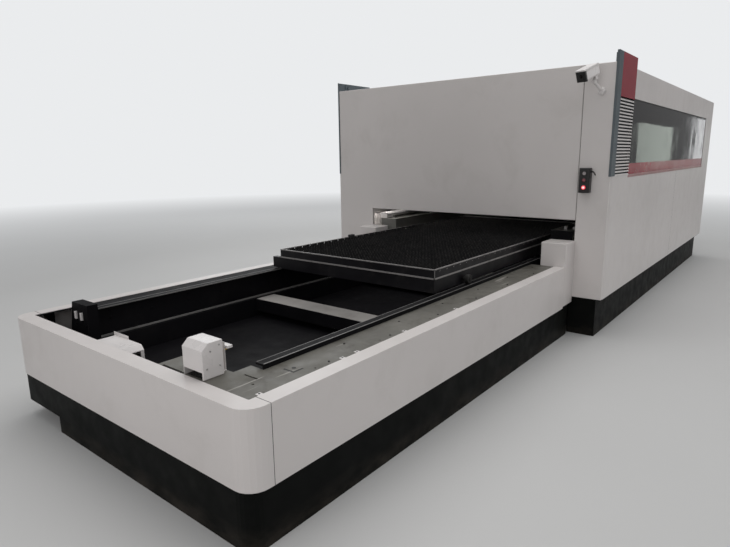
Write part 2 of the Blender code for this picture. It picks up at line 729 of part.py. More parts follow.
def make_pallet_frame(name, y_end, drop):
    """Welded ladder of channels that carries the grate."""
    half = PALLET_WIDTH / 2
    low = pallet_frame_low() - drop
    high = low + FRAME_HEIGHT
    section = channel_outline(half - FRAME_DEPTH, half - 0.003, low, high - 0.002, FRAME_SHEET, FRAME_SHEET)
    frame = prism(name, mirrored(section, 1, LANE_X), "XZ", y_end + 0.002, y_end + PALLET_LENGTH - 0.002, PALLET_BLACK)
    other = prism(name + "_left", mirrored(section, -1, LANE_X), "XZ", y_end + 0.002, y_end + PALLET_LENGTH - 0.002,
                  None, CUTTERS)
    unite(frame, other)
    if drop == 0.0:
        tow = helper_box("tow_bracket", (LANE_X - half - TOW_WIDTH, y_end + 0.0006, low + 0.008),
                         (LANE_X - half + 0.006, y_end + TOW_LENGTH, high - FRAME_SHEET - 0.001))
        unite(frame, tow)
    for i, y in enumerate((y_end + 0.001, y_end + PALLET_LENGTH - FRAME_SHEET - 0.001)):
        plate = helper_box(f"{name}_end_{i}", (LANE_X - half + 0.004, y, low + 0.001),
                           (LANE_X + half - 0.004, y + FRAME_SHEET, high - 0.003))
        unite(frame, plate)
    for i in range(3):
        y = y_end + PALLET_LENGTH * (i + 1) / 4
        bar = helper_box(f"{name}_bar_{i}", (LANE_X - half + 0.005, y - 0.02, low + 0.050),
                         (LANE_X + half - 0.005, y + 0.02, high - 0.004))
        unite(frame, bar)
    rim = prism(name + "_rim", rectangle((LANE_X - half, y_end), (LANE_X + half, y_end + PALLET_LENGTH)), "XY",
                high - FRAME_SHEET, high, None, CUTTERS,
                [rectangle((LANE_X - half + FRAME_DEPTH - 0.01, y_end + FRAME_DEPTH - 0.01),
                           (LANE_X + half - FRAME_DEPTH + 0.01, y_end + PALLET_LENGTH - FRAME_DEPTH + 0.01))])
    unite(frame, rim)
    radius = AXLE_RADIUS + RUN
    bore = turned(name + "_bore", [(0, 1.0), (radius, 1.0), (radius, -1.0), (0, -1.0)], None, CUTTERS, 16)
    place = Matrix.Translation((LANE_X, y_end + WHEEL_INSET, wheel_height() - drop))
    settle(bore, place @ Matrix.Rotation(math.pi / 2, 4, "Y"))
    repeat(bore, 2, (0, PALLET_LENGTH - 2 * WHEEL_INSET, 0))
    cut(frame, bore)
    settle(frame)
    return frame


def wheel_height():
    return RAIL_TOP + WHEEL_RADIUS + FIT


def slat_outline():
    """One serrated slat, teeth up."""
    half = PALLET_WIDTH / 2 - GRATE_BAR / 2
    low = PALLET_TOP - GRATE_HEIGHT
    points = [(-half, low), (half, low)]
    pitch = 2 * half / SLAT_TEETH
    for i in range(SLAT_TEETH + 1):
        x = half - i * pitch
        points.append((x, PALLET_TOP - TOOTH_DEPTH))
        if i < SLAT_TEETH:
            points.append((x - pitch / 2, PALLET_TOP))
    return [(LANE_X + x, z) for x, z in points]


def make_grate(name, y_end, drop):
    """Serrated slats between two comb bars and two end bars."""
    half = PALLET_WIDTH / 2
    low = PALLET_TOP - GRATE_HEIGHT
    high = PALLET_TOP - 0.006
    outer = rectangle((LANE_X - half, y_end), (LANE_X + half, y_end + PALLET_LENGTH))
    inner = rectangle((LANE_X - half + GRATE_BAR, y_end + GRATE_BAR),
                      (LANE_X + half - GRATE_BAR, y_end + PALLET_LENGTH - GRATE_BAR))
    grate = prism(name, outer, "XY", low, high, PALLET_BLACK, None, [inner])
    count = int((PALLET_LENGTH - 2 * SLAT_PITCH * 0.4) / SLAT_PITCH) + 1
    first = y_end + (PALLET_LENGTH - (count - 1) * SLAT_PITCH) / 2
    slat = prism(name + "_slats", slat_outline(), "XZ", first - SLAT_THICKNESS / 2, first + SLAT_THICKNESS / 2,
                 None, CUTTERS)
    repeat(slat, count, (0, SLAT_PITCH, 0))
    settle(slat)
    unite(grate, slat)
    settle(grate)
    grate.data.transform(Matrix.Translation((0, 0, -drop)))
    return grate


def make_wheelset(name, y, z):
    """Two wheels on one axle."""
    tread = RAIL_INNER + WHEEL_PLAY
    half = tread + WHEEL_WIDTH
    stub = half + 0.006
    chamfer = 0.003
    side = [(0, stub), (AXLE_RADIUS - 0.002, stub), (AXLE_RADIUS - 0.002, half), (WHEEL_RADIUS - chamfer, half),
            (WHEEL_RADIUS, half - chamfer), (WHEEL_RADIUS, tread), (AXLE_RADIUS, tread)]
    profile = side + [(r, -h) for r, h in side[::-1]]
    wheels = turned(name, profile, STEEL, None, 24)
    settle(wheels, Matrix.Translation((LANE_X, y, z)) @ Matrix.Rotation(math.pi / 2, 4, "Y"))
    set_origin(wheels, (LANE_X, y, z))
    return wheels


def make_pallets():
    for level, y_end, drop in (("upper", PALLET_END_AT_REST, 0.0), ("lower", PALLET_PARKED, LEVEL_PITCH)):
        frame = make_pallet_frame(level + "_pallet_frame", y_end, drop)
        grate = make_grate(level + "_pallet_grate", y_end, drop)
        origin = (LANE_X, y_end + PALLET_LENGTH / 2, RAIL_TOP - drop)
        set_origin(frame, origin)
        set_origin(grate, origin)
        z = wheel_height() - drop
        make_wheelset(level + "_wheelset_near", y_end + WHEEL_INSET, z)
        make_wheelset(level + "_wheelset_far", y_end + PALLET_LENGTH - WHEEL_INSET, z)


# Enclosure

def make_front():
    x_seam = TABLE_RIGHT - FRAME_LAP
    x_left = TABLE_LEFT + FRAME_LAP
    outline = [(-X_WALL, ENCLOSURE_BOTTOM), (x_left, ENCLOSURE_BOTTOM), (x_left, GATE_BOTTOM),
               (x_seam - FIT, GATE_BOTTOM), (x_seam - FIT, ENCLOSURE_TOP), (-X_WALL, ENCLOSURE_TOP)]
    panel = prism("front_panel", outline, "XZ", Y_JOIN, Y_JOIN + PANEL, WHITE)
    round_edges(panel, 0.004, 1)
    pillar = box("front_pillar_right", (x_seam, Y_JOIN, ENCLOSURE_BOTTOM), (X_WALL, Y_JOIN + PANEL, ENCLOSURE_TOP), WHITE)
    round_edges(pillar, 0.004, 1)


def make_sides():
    start = Y_JOIN + PANEL + FIT
    outer = rectangle((start, ENCLOSURE_BOTTOM), (Y_FAR, ENCLOSURE_TOP))
    opening = rectangle((Y_JOIN + TRIM_SIDE, SIDE_BAND_LOW), (WINDOW_END, SIDE_BAND_HIGH))
    right = prism("side_panel_right", outer, "YZ", X_WALL - PANEL, X_WALL, WHITE, None, [opening])
    doorways = []
    for place in DOOR_PLACES:
        doorways.append(rectangle((place - DOOR_GAP, DOOR_LOW - DOOR_GAP),
                                  (place + DOOR_WIDTH + DOOR_GAP, DOOR_HIGH + DOOR_GAP)))
    left = prism("side_panel_left", outer, "YZ", -X_WALL, -X_WALL + PANEL, WHITE, None, doorways)
    for i, place in enumerate(DOOR_PLACES):
        for j, z in enumerate(hinge_heights()):
            knuckle = hinge_knuckle(f"panel_knuckle_{i}_{j}", place, z)
            leaf = helper_box(f"panel_leaf_{i}_{j}", (-X_WALL + 0.0005, place - DOOR_GAP - 0.004, z + 0.0005),
                              (-X_WALL + 0.0035, place, z + HINGE_LENGTH - 0.0005))
            unite(left, knuckle, leaf)
    settle(left)
    inner = X_WALL - PANEL - FIT
    rear = box("rear_panel", (-inner, Y_FAR - PANEL, ENCLOSURE_BOTTOM), (inner, Y_FAR, ENCLOSURE_TOP), WHITE)
    roof = box("roof", (-inner, Y_JOIN + PANEL + FIT, ENCLOSURE_TOP - ROOF_SHEET),
               (inner, Y_FAR - PANEL - FIT, ENCLOSURE_TOP), WHITE)
    return right, left, rear, roof


def hinge_heights():
    return [DOOR_LOW + (DOOR_HIGH - DOOR_LOW) * share for share in HINGE_SHARES]


def hinge_knuckle(name, y, z):
    barrel = turned(name, [(0, HINGE_LENGTH), (HINGE_RADIUS, HINGE_LENGTH), (HINGE_RADIUS, 0), (0, 0)], None, CUTTERS, 12)
    settle(barrel, Matrix.Translation((-X_WALL, y, z)))
    return hide_cutter(barrel)


def make_plinth():
    """Black skirt round the enclosure, open towards the table."""
    x = X_WALL - PLINTH_SETBACK
    t = SKIRT_THICKNESS
    y0 = Y_JOIN + PLINTH_SETBACK
    y1 = Y_FAR - PLINTH_SETBACK
    right_end = LANE_X + TABLE_WIDTH / 2 - 0.05
    left_end = LANE_X - TABLE_WIDTH / 2 + 0.05
    outline = [(right_end, y0), (x, y0), (x, y1), (-x, y1), (-x, y0), (left_end, y0), (left_end, y0 + t),
               (-x + t, y0 + t), (-x + t, y1 - t), (x - t, y1 - t), (x - t, y0 + t), (right_end, y0 + t)]
    skirt = prism("enclosure_skirt", outline, "XY", 0.0, ENCLOSURE_BOTTOM - FIT, BLACK)
    x = X_WALL - 0.004
    y0 = Y_JOIN + 0.004
    y1 = Y_FAR - 0.004
    t = PLINTH_SETBACK + 0.002
    rim = [(right_end + 0.001, y0), (x, y0), (x, y1), (-x, y1), (-x, y0), (left_end - 0.001, y0),
           (left_end - 0.001, y0 + t), (-x + t, y0 + t), (-x + t, y1 - t), (x - t, y1 - t), (x - t, y0 + t),
           (right_end + 0.001, y0 + t)]
    flange = prism("skirt_flange", rim, "XY", ENCLOSURE_BOTTOM - FIT - 0.006, ENCLOSURE_BOTTOM - FIT - 0.0005,
                   None, CUTTERS)
    unite(skirt, flange)
    return skirt


def make_trims():
    t = 0.006
    for side, sign in SIDES:
        outer = X_WALL + TRIM_PROUD
        y = Y_JOIN - TRIM_PROUD
        c = 0.0015
        outline = [(X_WALL - TRIM_FRONT, y), (outer - c, y), (outer, y + c), (outer, Y_JOIN + TRIM_SIDE),
                   (outer - t, Y_JOIN + TRIM_SIDE), (outer - t, y + t), (X_WALL - TRIM_FRONT, y + t)]
        prism("trim_" + side, mirrored(outline, sign), "XY", SIDE_BAND_LOW, TRIM_TOP, TRIM)


def trim_pockets():
    """Recesses that let the corner trims sit in the panels."""
    for side, sign in SIDES:
        t = 0.006 - TRIM_PROUD + FIT
        front = sorted((sign * (X_WALL - TRIM_FRONT - FIT), sign * (X_WALL + 0.02)))
        face = helper_box("trim_front_" + side, (front[0], Y_JOIN - 0.02, SIDE_BAND_LOW - FIT),
                          (front[1], Y_JOIN + t, ENCLOSURE_TOP + 0.02))
        side_xs = sorted((sign * (X_WALL - t), sign * (X_WALL + 0.02)))
        flank = helper_box("trim_flank_" + side, (side_xs[0], Y_JOIN - 0.02, SIDE_BAND_LOW - FIT),
                           (side_xs[1], Y_JOIN + TRIM_SIDE + FIT, ENCLOSURE_TOP + 0.02))
        yield side, face, flank


def make_red_panel():
    """Plain red panel above the louvre, standing up past the roof."""
    y0 = Y_JOIN + TRIM_SIDE + FIT
    y1 = y0 + LOUVRE_WIDTH
    x = X_WALL + TRIM_PROUD
    panel = box("red_panel", (X_WALL + FIT, y0, SIDE_BAND_HIGH - 0.010), (x, y1, TRIM_TOP), RED)
    cap = helper_box("red_cap", (X_WALL - 0.055, y0 + 0.001, ENCLOSURE_TOP + FIT),
                     (x - 0.001, y1 - 0.001, TRIM_TOP - 0.001))
    unite(panel, cap)
    return panel


def make_louvre():
    """Light blades over a dark slot each, one pitch apart."""
    y0 = Y_JOIN + TRIM_SIDE + FIT
    y1 = y0 + LOUVRE_WIDTH
    low = SIDE_BAND_LOW + FIT
    high = SIDE_BAND_HIGH - 0.010 - FIT
    pitch = (high - low) / LOUVRE_SLATS
    back = X_WALL - PANEL + 0.004
    face = X_WALL + 0.002
    root = X_WALL - 0.020
    points = [(back, high), (back, low)]
    for i in range(LOUVRE_SLATS):
        z = low + i * pitch
        points.append((face, z))
        points.append((face - 0.004, z + pitch * 0.50))
        points.append((root, z + pitch * 0.58))
        points.append((root, z + pitch if i < LOUVRE_SLATS - 1 else high))
    return prism("louvre", points, "XZ", y0, y1, WHITE)


def make_window():
    y0 = Y_JOIN + TRIM_SIDE + LOUVRE_WIDTH + 2 * FIT
    y1 = WINDOW_END - FIT
    x1 = X_WALL - GLASS_RECESS
    x0 = x1 - GLASS_THICKNESS
    split = SIDE_BAND_LOW + STRIP_HEIGHT
    box("window_glass", (x0, y0, split + FIT), (x1, y1, SIDE_BAND_HIGH - FIT), GLASS)
    box("window_strip", (x0, y0, SIDE_BAND_LOW + FIT), (x1, y1, split), RED)


def make_lift_gate():
    """Sliding gate behind the header, drawn down to close the opening."""
    y = Y_JOIN + PANEL + 0.012
    low = GATE_BOTTOM + 0.004
    gate = box("lift_gate", (TABLE_LEFT + 0.01, y, low),
               (TABLE_RIGHT - 0.01, y + GATE_THICKNESS, low + GATE_HEIGHT), WHITE)
    stiffener = helper_box("gate_stiffener", (TABLE_LEFT + 0.03, y + 0.004, low + 0.02),
                           (TABLE_RIGHT - 0.03, y + GATE_THICKNESS + 0.02, low + 0.06))
    repeat(stiffener, 2, (0, 0, GATE_HEIGHT - 0.08))
    settle(stiffener)
    shoes = helper_box("gate_shoes", (TABLE_LEFT + 0.02, Y_JOIN + PANEL + FIT, low + GATE_HEIGHT - 0.09),
                       (TABLE_LEFT + 0.07, y + 0.004, low + GATE_HEIGHT - 0.03))
    repeat(shoes, 2, (TABLE_WIDTH - 0.09, 0, 0))
    settle(shoes)
    unite(gate, stiffener, shoes)
    settle(gate)
    set_origin(gate, (LANE_X, y, low))
    return gate


def make_service_doors():
    """Flush doors with a pocket handle and a field of vents."""
    for name, place in zip(("service_door_near", "service_door_far"), DOOR_PLACES):
        door = box(name, (-X_WALL, place, DOOR_LOW), (-X_WALL + PANEL - 0.002, place + DOOR_WIDTH, DOOR_HIGH), WHITE)
        round_edges(door, 0.002, 1)
        grip = (DOOR_LOW + DOOR_HIGH) / 2
        pocket = helper_box(name + "_pocket", (-X_WALL - 0.01, place + DOOR_WIDTH - 0.10, grip - 0.08),
                            (-X_WALL + 0.018, place + DOOR_WIDTH - 0.05, grip + 0.08))
        vents = helper_box(name + "_vents", (-X_WALL - 0.01, place + 0.22, DOOR_LOW + 0.15),
                           (-X_WALL + 0.008, place + DOOR_WIDTH - 0.22, DOOR_LOW + 0.162))
        repeat(vents, VENT_COUNT, (0, 0, VENT_PITCH))
        settle(vents)
        cut(door, pocket, vents)
        for j, z in enumerate(hinge_heights()):
            relief = helper_box(f"{name}_relief_{j}", (-X_WALL - 0.01, place - 0.01, z - FIT),
                                (-X_WALL + HINGE_RADIUS + RUN, place + HINGE_RADIUS + RUN, z + HINGE_LENGTH + FIT))
            cut(door, relief)
            unite(door, hinge_knuckle(f"{name}_knuckle_{j}", place, z + HINGE_LENGTH + FIT))
        settle(door)
        set_origin(door, (-X_WALL, place, DOOR_LOW))


# Front fittings

def make_button_box():
    x0 = BOX_X - BOX_WIDTH / 2
    x1 = BOX_X + BOX_WIDTH / 2
    y_face = Y_JOIN - FIT - BOX_DEPTH
    body = box("button_box", (x0, y_face, BOX_BOTTOM), (x1, Y_JOIN - FIT, BOX_BOTTOM + BOX_HEIGHT), PLASTIC)
    round_edges(body, 0.004, 1)
    settle(body)
    buttons = (("button_white", 1.452, BUTTON_RADIUS, LAMP_WHITE), ("button_pink", 1.396, BUTTON_RADIUS, LAMP_PINK),
               ("button_red", 1.334, BUTTON_RADIUS * 1.2, LAMP_RED))
    for name, z, radius, mat in buttons:
        reach = 0.010
        sink = 0.022
        profile = [(0, reach), (radius - 0.003, reach), (radius, reach - 0.003), (radius, -sink), (0, -sink)]
        cap = turned(name, profile, mat, None, 20)
        turn = Matrix.Rotation(math.pi / 2, 4, "X")
        settle(cap, Matrix.Translation((BOX_X, y_face, z)) @ turn)
        well = turned(name + "_well", [(0, 0.03), (radius + RUN, 0.03), (radius + RUN, -sink - BUTTON_TRAVEL - 0.004),
                                       (0, -sink - BUTTON_TRAVEL - 0.004)], None, CUTTERS, 20)
        settle(well, Matrix.Translation((BOX_X, y_face, z)) @ turn)
        cut(body, well)
        set_origin(cap, (BOX_X, y_face, z))
    settle(body)
    return body


def camera_pivot():
    return Vector((CAMERA_X - 0.035, Y_JOIN - CAMERA_REACH, CAMERA_Z + 0.095))


def make_camera():
    """Bullet camera on a two-axis bracket."""
    wall = Vector((CAMERA_X, Y_JOIN - FIT, CAMERA_Z))
    profile = [(0, 0.006), (0.020, 0.006), (0.032, 0.0), (0.032, -0.010), (0, -0.010)]
    base = turned("camera_bracket", profile, WHITE, None, 20)
    settle(base, Matrix.Translation(wall - Vector((0, 0.010, 0))) @ Matrix.Rotation(math.pi / 2, 4, "X"))
    pivot = camera_pivot()
    span = pivot - Vector((0, 0, 0.030)) - wall
    stem = turned("camera_stem", [(0, span.length), (0.010, span.length), (0.012, 0.004), (0, 0.004)], None, CUTTERS, 14)
    settle(stem, Matrix.Translation(wall - Vector((0, 0.004, 0))) @ span.to_track_quat("Z", "Y").to_matrix().to_4x4())
    cup = turned("camera_cup", [(0, -0.018), (0.017, -0.018), (0.017, -0.040), (0, -0.040)], None, CUTTERS, 20)
    settle(cup, Matrix.Translation(pivot))
    unite(base, stem, cup)
    settle(base)
    knuckle = turned("camera_knuckle", [(0, 0.010), (0.007, 0.010), (0.013, 0.004), (0.013, -0.018 + FIT),
                                        (0, -0.018 + FIT)], STEEL, None, 20)
    settle(knuckle, Matrix.Translation(pivot))
    set_origin(knuckle, pivot)
    aim = Matrix.Rotation(CAMERA_TURN, 4, "Z") @ Matrix.Rotation(CAMERA_TILT, 4, "X")
    half = CAMERA_SIZE / 2
    front = CAMERA_REAR - CAMERA_LENGTH
    low = 0.022
    high = low + CAMERA_SIZE
    body = box("camera_body", (-half, front, low), (half, CAMERA_REAR, high), WHITE)
    round_edges(body, 0.014, 3)
    settle(body)
    hood = helper_box("camera_hood", (-half - 0.004, front - 0.012, high - 0.004),
                      (half + 0.004, CAMERA_REAR - 0.010, high + 0.004))
    lens = turned("camera_window", [(0, 0.03), (0.030, 0.03), (0.030, 0.0), (0, 0.0)], None, CUTTERS, 20)
    settle(lens, Matrix.Translation((0, front + 0.008, low + CAMERA_SIZE / 2)) @ Matrix.Rotation(math.pi / 2, 4, "X"))
    lug = helper_box("camera_lug", (0.0135, -0.015, -0.010), (0.020, 0.015, 0.030))
    cut(body, lens)
    unite(body, hood, lug)
    settle(body, Matrix.Translation(pivot) @ aim)
    set_origin(body, pivot)


# Machine bed

def bed_inner():
    return RAIL_OUTER + BED_CLEARANCE


def make_bed():
    """Two box sides with cross members and fixed rail ledges at the near end."""
    y0 = Y_JOIN + PANEL + BED_START
    y1 = Y_FAR - PANEL - BED_END
    bed = None
    for side, sign in SIDES:
        inner = bed_inner()
        outer = inner + BED_WIDTH
        section = [(inner, BED_BOTTOM), (outer + 0.05, BED_BOTTOM), (outer + 0.05, 0.30), (outer, 0.40),
                   (outer, BED_TOP), (inner, BED_TOP)]
        outline = mirrored(section, sign, LANE_X)
        body = prism("bed_frame" if bed is None else "bed_side_" + side, outline, "XZ", y0, y1, GREY,
                     None if bed is None else CUTTERS)
        if bed is None:
            bed = body
        else:
            unite(bed, body)
        for i in range(4):
            y = y0 + 0.3 + (y1 - y0 - 0.6) * i / 3
            xs = sorted((LANE_X + sign * (inner + 0.04), LANE_X + sign * (outer + 0.01)))
            unite(bed, helper_box(f"bed_foot_{side}_{i}", (xs[0], y - 0.06, 0.0), (xs[1], y + 0.06, BED_BOTTOM + 0.01)))
        for level in (0.0, LEVEL_PITCH):
            xs = sorted((LANE_X + sign * RAIL_INNER, LANE_X + sign * (inner + 0.02)))
            unite(bed, helper_box(f"bed_ledge_{side}_{round(level * 1000)}",
                                  (xs[0], Y_JOIN + PANEL + 0.075, RAIL_TOP - RAIL_FLANGE - level),
                                  (xs[1], BRIDGE_END, RAIL_TOP - level)))
    for i, place in enumerate(LIFT_CROSS_PLACES):
        unite(bed, helper_box(f"bed_cross_{i}", (LANE_X - bed_inner() - 0.02, place - 0.12, BED_BOTTOM + 0.005),
                              (LANE_X + bed_inner() + 0.02, place + 0.12, CYLINDER_BOTTOM + 0.02)))
    unite(bed, helper_box("bed_cross_near", (LANE_X - bed_inner() - 0.02, y0 + 0.01, 0.16),
                          (LANE_X + bed_inner() + 0.02, y0 + 0.16, 0.42)))
    return bed


def make_guides():
    y0 = Y_JOIN + PANEL + BED_START + 0.10
    y1 = Y_FAR - PANEL - BED_END - 0.02
    middle = bed_inner() + BED_WIDTH / 2
    w = GUIDE_WIDTH / 2
    low = BED_TOP + FIT
    outline = [(-w, low), (w, low), (w, low + 0.008), (w - 0.006, low + 0.014), (w, low + 0.020), (w, low + GUIDE_HEIGHT),
               (-w, low + GUIDE_HEIGHT), (-w, low + 0.020), (-w + 0.006, low + 0.014), (-w, low + 0.008)]
    for side, sign in SIDES:
        prism("guide_" + side, [(LANE_X + sign * middle + x, z) for x, z in outline], "XZ", y0, y1, STEEL)


def make_lift():
    """Lifting rails under the parked pallet, on two cylinders."""
    outline = channel_outline(RAIL_INNER, RAIL_OUTER, RAIL_TOP - RAIL_HEIGHT, RAIL_TOP, RAIL_FLANGE, RAIL_WEB)
    y0 = BRIDGE_END + 0.015
    y1 = PALLET_PARKED + PALLET_LENGTH + 0.08
    lift = prism("lift_frame", mirrored(outline, 1, LANE_X), "XZ", y0, y1, BLACK)
    unite(lift, prism("lift_rail_left", mirrored(outline, -1, LANE_X), "XZ", y0, y1, None, CUTTERS))
    top = RAIL_TOP - RAIL_HEIGHT + 0.004
    low = top - 0.09
    for i, place in enumerate(LIFT_CROSS_PLACES):
        unite(lift, helper_box(f"lift_cross_{i}", (LANE_X - RAIL_OUTER + 0.002, place - 0.08, low),
                               (LANE_X + RAIL_OUTER - 0.002, place + 0.08, top)))
        rod = turned(f"lift_rod_{i}", [(0, low + 0.01), (ROD_RADIUS, low + 0.01), (ROD_RADIUS, CYLINDER_BOTTOM + 0.045),
                                       (0, CYLINDER_BOTTOM + 0.045)], None, CUTTERS, 20)
        settle(rod, Matrix.Translation((LANE_X, place, 0)))
        unite(lift, rod)
        bore = ROD_RADIUS + RUN
        wall = bore + CYLINDER_WALL
        z0 = CYLINDER_BOTTOM + 0.02 + FIT
        z1 = low - 0.012
        cylinder = turned("lift_cylinder_" + ("near", "far")[i],
                          [(bore, z1), (wall, z1), (wall, z0 + 0.012), (wall + 0.03, z0 + 0.012), (wall + 0.03, z0), (0, z0),
                           (0, z0 + 0.014), (bore, z0 + 0.014), (bore, z1)], STEEL, None, 20)
        settle(cylinder, Matrix.Translation((LANE_X, place, 0)))
    settle(lift)
    set_origin(lift, (LANE_X, (y0 + y1) / 2, RAIL_TOP - RAIL_HEIGHT))


# Gantry and head

def make_gantry():
    inner = bed_inner()
    middle = inner + BED_WIDTH / 2
    half = middle + 0.09
    low = GANTRY_BEAM_LOW
    high = low + GANTRY_BEAM_HEIGHT
    d = GANTRY_BEAM_DEPTH / 2
    section = [(GANTRY_Y - d, low + 0.03), (GANTRY_Y - d + 0.03, low), (GANTRY_Y + d - 0.05, low),
               (GANTRY_Y + d, low + 0.08), (GANTRY_Y + d, high - 0.02), (GANTRY_Y + d - 0.02, high),
               (GANTRY_Y - d, high)]
    beam = prism("gantry_beam", section, "YZ", LANE_X - half, LANE_X + half, ALUMINIUM)
    for side, sign in SIDES:
        x = LANE_X + sign * middle
        y0 = GANTRY_Y - FOOT_LENGTH / 2
        y1 = GANTRY_Y + FOOT_LENGTH / 2
        foot_low = BED_TOP + GUIDE_HEIGHT + 0.006
        unite(beam, helper_box("gantry_foot_" + side, (x - 0.075, y0, foot_low), (x + 0.075, y1, low + 0.045)))
        w = GUIDE_WIDTH / 2
        inside = w + RUN
        clear = BED_TOP + GUIDE_HEIGHT + FIT * 2
        saddle = [(x - 0.035, BED_TOP + 0.008), (x - inside, BED_TOP + 0.008), (x - inside, clear), (x + inside, clear),
                  (x + inside, BED_TOP + 0.008), (x + 0.035, BED_TOP + 0.008), (x + 0.035, foot_low + 0.004),
                  (x - 0.035, foot_low + 0.004)]
        block = prism("gantry_block_" + side, saddle, "XZ", y0 + 0.01, y0 + 0.08, None, CUTTERS)
        repeat(block, 2, (0, FOOT_LENGTH - 0.09, 0))
        settle(block)
        unite(beam, block)
        motor = turned("gantry_motor_" + side, [(0, 0.24), (0.045, 0.24), (0.045, 0.0), (0, 0.0)], None, CUTTERS, 16)
        settle(motor, Matrix.Translation((x, GANTRY_Y + FOOT_LENGTH / 2 - 0.06, low + 0.04)))
        unite(beam, motor)
    y_face = GANTRY_Y - d
    for i, z in enumerate((low + 0.06, high - 0.05)):
        rail = helper_box(f"cross_rail_{i}", (LANE_X - inner + 0.02, y_face - 0.018, z - 0.010),
                          (LANE_X + inner - 0.02, y_face + 0.004, z + 0.010))
        unite(beam, rail)
    settle(beam)
    set_origin(beam, (LANE_X, GANTRY_Y, BED_TOP + GUIDE_HEIGHT))


def make_head():
    """Cross carriage, vertical slide, cutting head and nozzle."""
    y_face = GANTRY_Y - GANTRY_BEAM_DEPTH / 2
    low = GANTRY_BEAM_LOW
    high = low + GANTRY_BEAM_HEIGHT
    y_plate = y_face - 0.018 - RUN
    w = CARRIAGE_WIDTH / 2
    x = CARRIAGE_X
    plate = box("cross_carriage", (x - w, y_plate - 0.020, low - 0.02), (x + w, y_plate, high + 0.06), ALUMINIUM)
    for i, z in enumerate((low + 0.06, high - 0.05)):
        for j, (za, zb) in enumerate(((z - 0.030, z - 0.010 - RUN), (z + 0.010 + RUN, z + 0.030))):
            unite(plate, helper_box(f"carriage_block_{i}_{j}", (x - w + 0.01, y_plate - 0.004, za),
                                    (x + w - 0.01, y_face - RUN * 2, zb)))
    tower = helper_box("carriage_tower", (x - 0.05, y_plate - 0.024, low + 0.03),
                       (x + 0.05, y_plate - 0.018, high + 0.04))
    cap = helper_box("carriage_motor", (x - 0.045, y_plate - 0.010, high + 0.045), (x + 0.045, y_plate + 0.08, high + 0.20))
    unite(plate, tower, cap)
    settle(plate)
    set_origin(plate, (x, y_plate, low))
    y_slide = y_plate - 0.024 - RUN
    slide = box("head_slide", (x - 0.055, y_slide - 0.020, low - 0.03), (x + 0.055, y_slide, high - 0.03), ALUMINIUM)
    hold = helper_box("head_clamp", (x - 0.055, y_slide - 0.075, low + 0.02), (x + 0.055, y_slide - 0.016, low + 0.07))
    y_head = y_slide - 0.020 - 0.036
    bore = turned("head_bore", [(0, high), (0.0305, high), (0.0305, low - 0.1), (0, low - 0.1)], None, CUTTERS, 24)
    settle(bore, Matrix.Translation((x, y_head, 0)))
    unite(slide, hold)
    cut(slide, bore)
    settle(slide)
    set_origin(slide, (x, y_slide, low))
    tip = PALLET_TOP + HEAD_CLEARANCE + HEAD_TRAVEL
    profile = [(0, high + 0.10), (0.016, high + 0.10), (0.016, high + 0.02), (0.034, high + 0.02), (0.034, low + 0.0703),
               (0.030, low + 0.0703), (0.030, low - 0.035), (0.018, tip + 0.045), (0.018, tip + 0.025), (0, tip + 0.025)]
    head = turned("cutting_head", profile, STEEL, None, 24)
    settle(head, Matrix.Translation((x, y_head, 0)))
    set_origin(head, (x, y_head, tip))
    nozzle = turned("nozzle", [(0, tip + 0.025 - FIT), (0.014, tip + 0.025 - FIT), (0.014, tip + 0.015), (0.004, tip), (0, tip)],
                    BRASS, None, 20)
    settle(nozzle, Matrix.Translation((x, y_head, 0)))
    set_origin(nozzle, (x, y_head, tip))


def main():
    make_table_frame()
    make_table_rails()
    make_rail_end_tower()
    make_ledges()
    make_table_covers()
    make_table_skirt()
    make_pallet_drive()
    make_stop_cover()
    make_motor_cover()
    make_pallets()
    make_front()
    make_sides()
    for side, face, flank in trim_pockets():
        front = bpy.data.objects["front_panel" if side == "left" else "front_pillar_right"]
        cut(front, face, flank)
        cut(bpy.data.objects["side_panel_" + side], flank)
    make_plinth()
    make_trims()
    make_red_panel()
    make_louvre()
    make_window()
    make_lift_gate()
    make_service_doors()
    make_button_box()
    make_camera()
    make_bed()
    make_guides()
    make_lift()
    make_gantry()
    make_head()


main()
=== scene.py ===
"""Looks of the fibre laser cutting machine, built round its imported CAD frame.

Lengths are metres. The exchange table is at -Y, the window side at +X and the floor at Z = 0.
"""
import json
import math
import random

import bmesh
import bpy
from mathutils import Matrix, Vector


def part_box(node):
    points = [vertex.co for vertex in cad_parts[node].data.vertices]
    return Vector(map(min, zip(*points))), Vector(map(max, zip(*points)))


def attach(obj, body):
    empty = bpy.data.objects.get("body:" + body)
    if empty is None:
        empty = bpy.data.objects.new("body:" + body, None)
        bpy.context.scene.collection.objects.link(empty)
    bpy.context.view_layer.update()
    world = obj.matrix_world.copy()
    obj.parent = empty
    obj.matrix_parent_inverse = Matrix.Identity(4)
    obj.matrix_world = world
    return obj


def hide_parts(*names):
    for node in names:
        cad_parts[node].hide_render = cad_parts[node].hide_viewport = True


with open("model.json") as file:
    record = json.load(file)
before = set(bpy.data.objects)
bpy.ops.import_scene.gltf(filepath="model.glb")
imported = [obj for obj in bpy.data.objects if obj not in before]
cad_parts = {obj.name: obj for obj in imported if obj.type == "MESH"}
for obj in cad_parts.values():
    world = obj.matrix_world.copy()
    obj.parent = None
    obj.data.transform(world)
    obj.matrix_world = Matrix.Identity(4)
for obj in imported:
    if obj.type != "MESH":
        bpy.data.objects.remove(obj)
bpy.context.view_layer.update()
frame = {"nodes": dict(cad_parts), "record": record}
NODES = frame["nodes"]
RNG = random.Random(11)

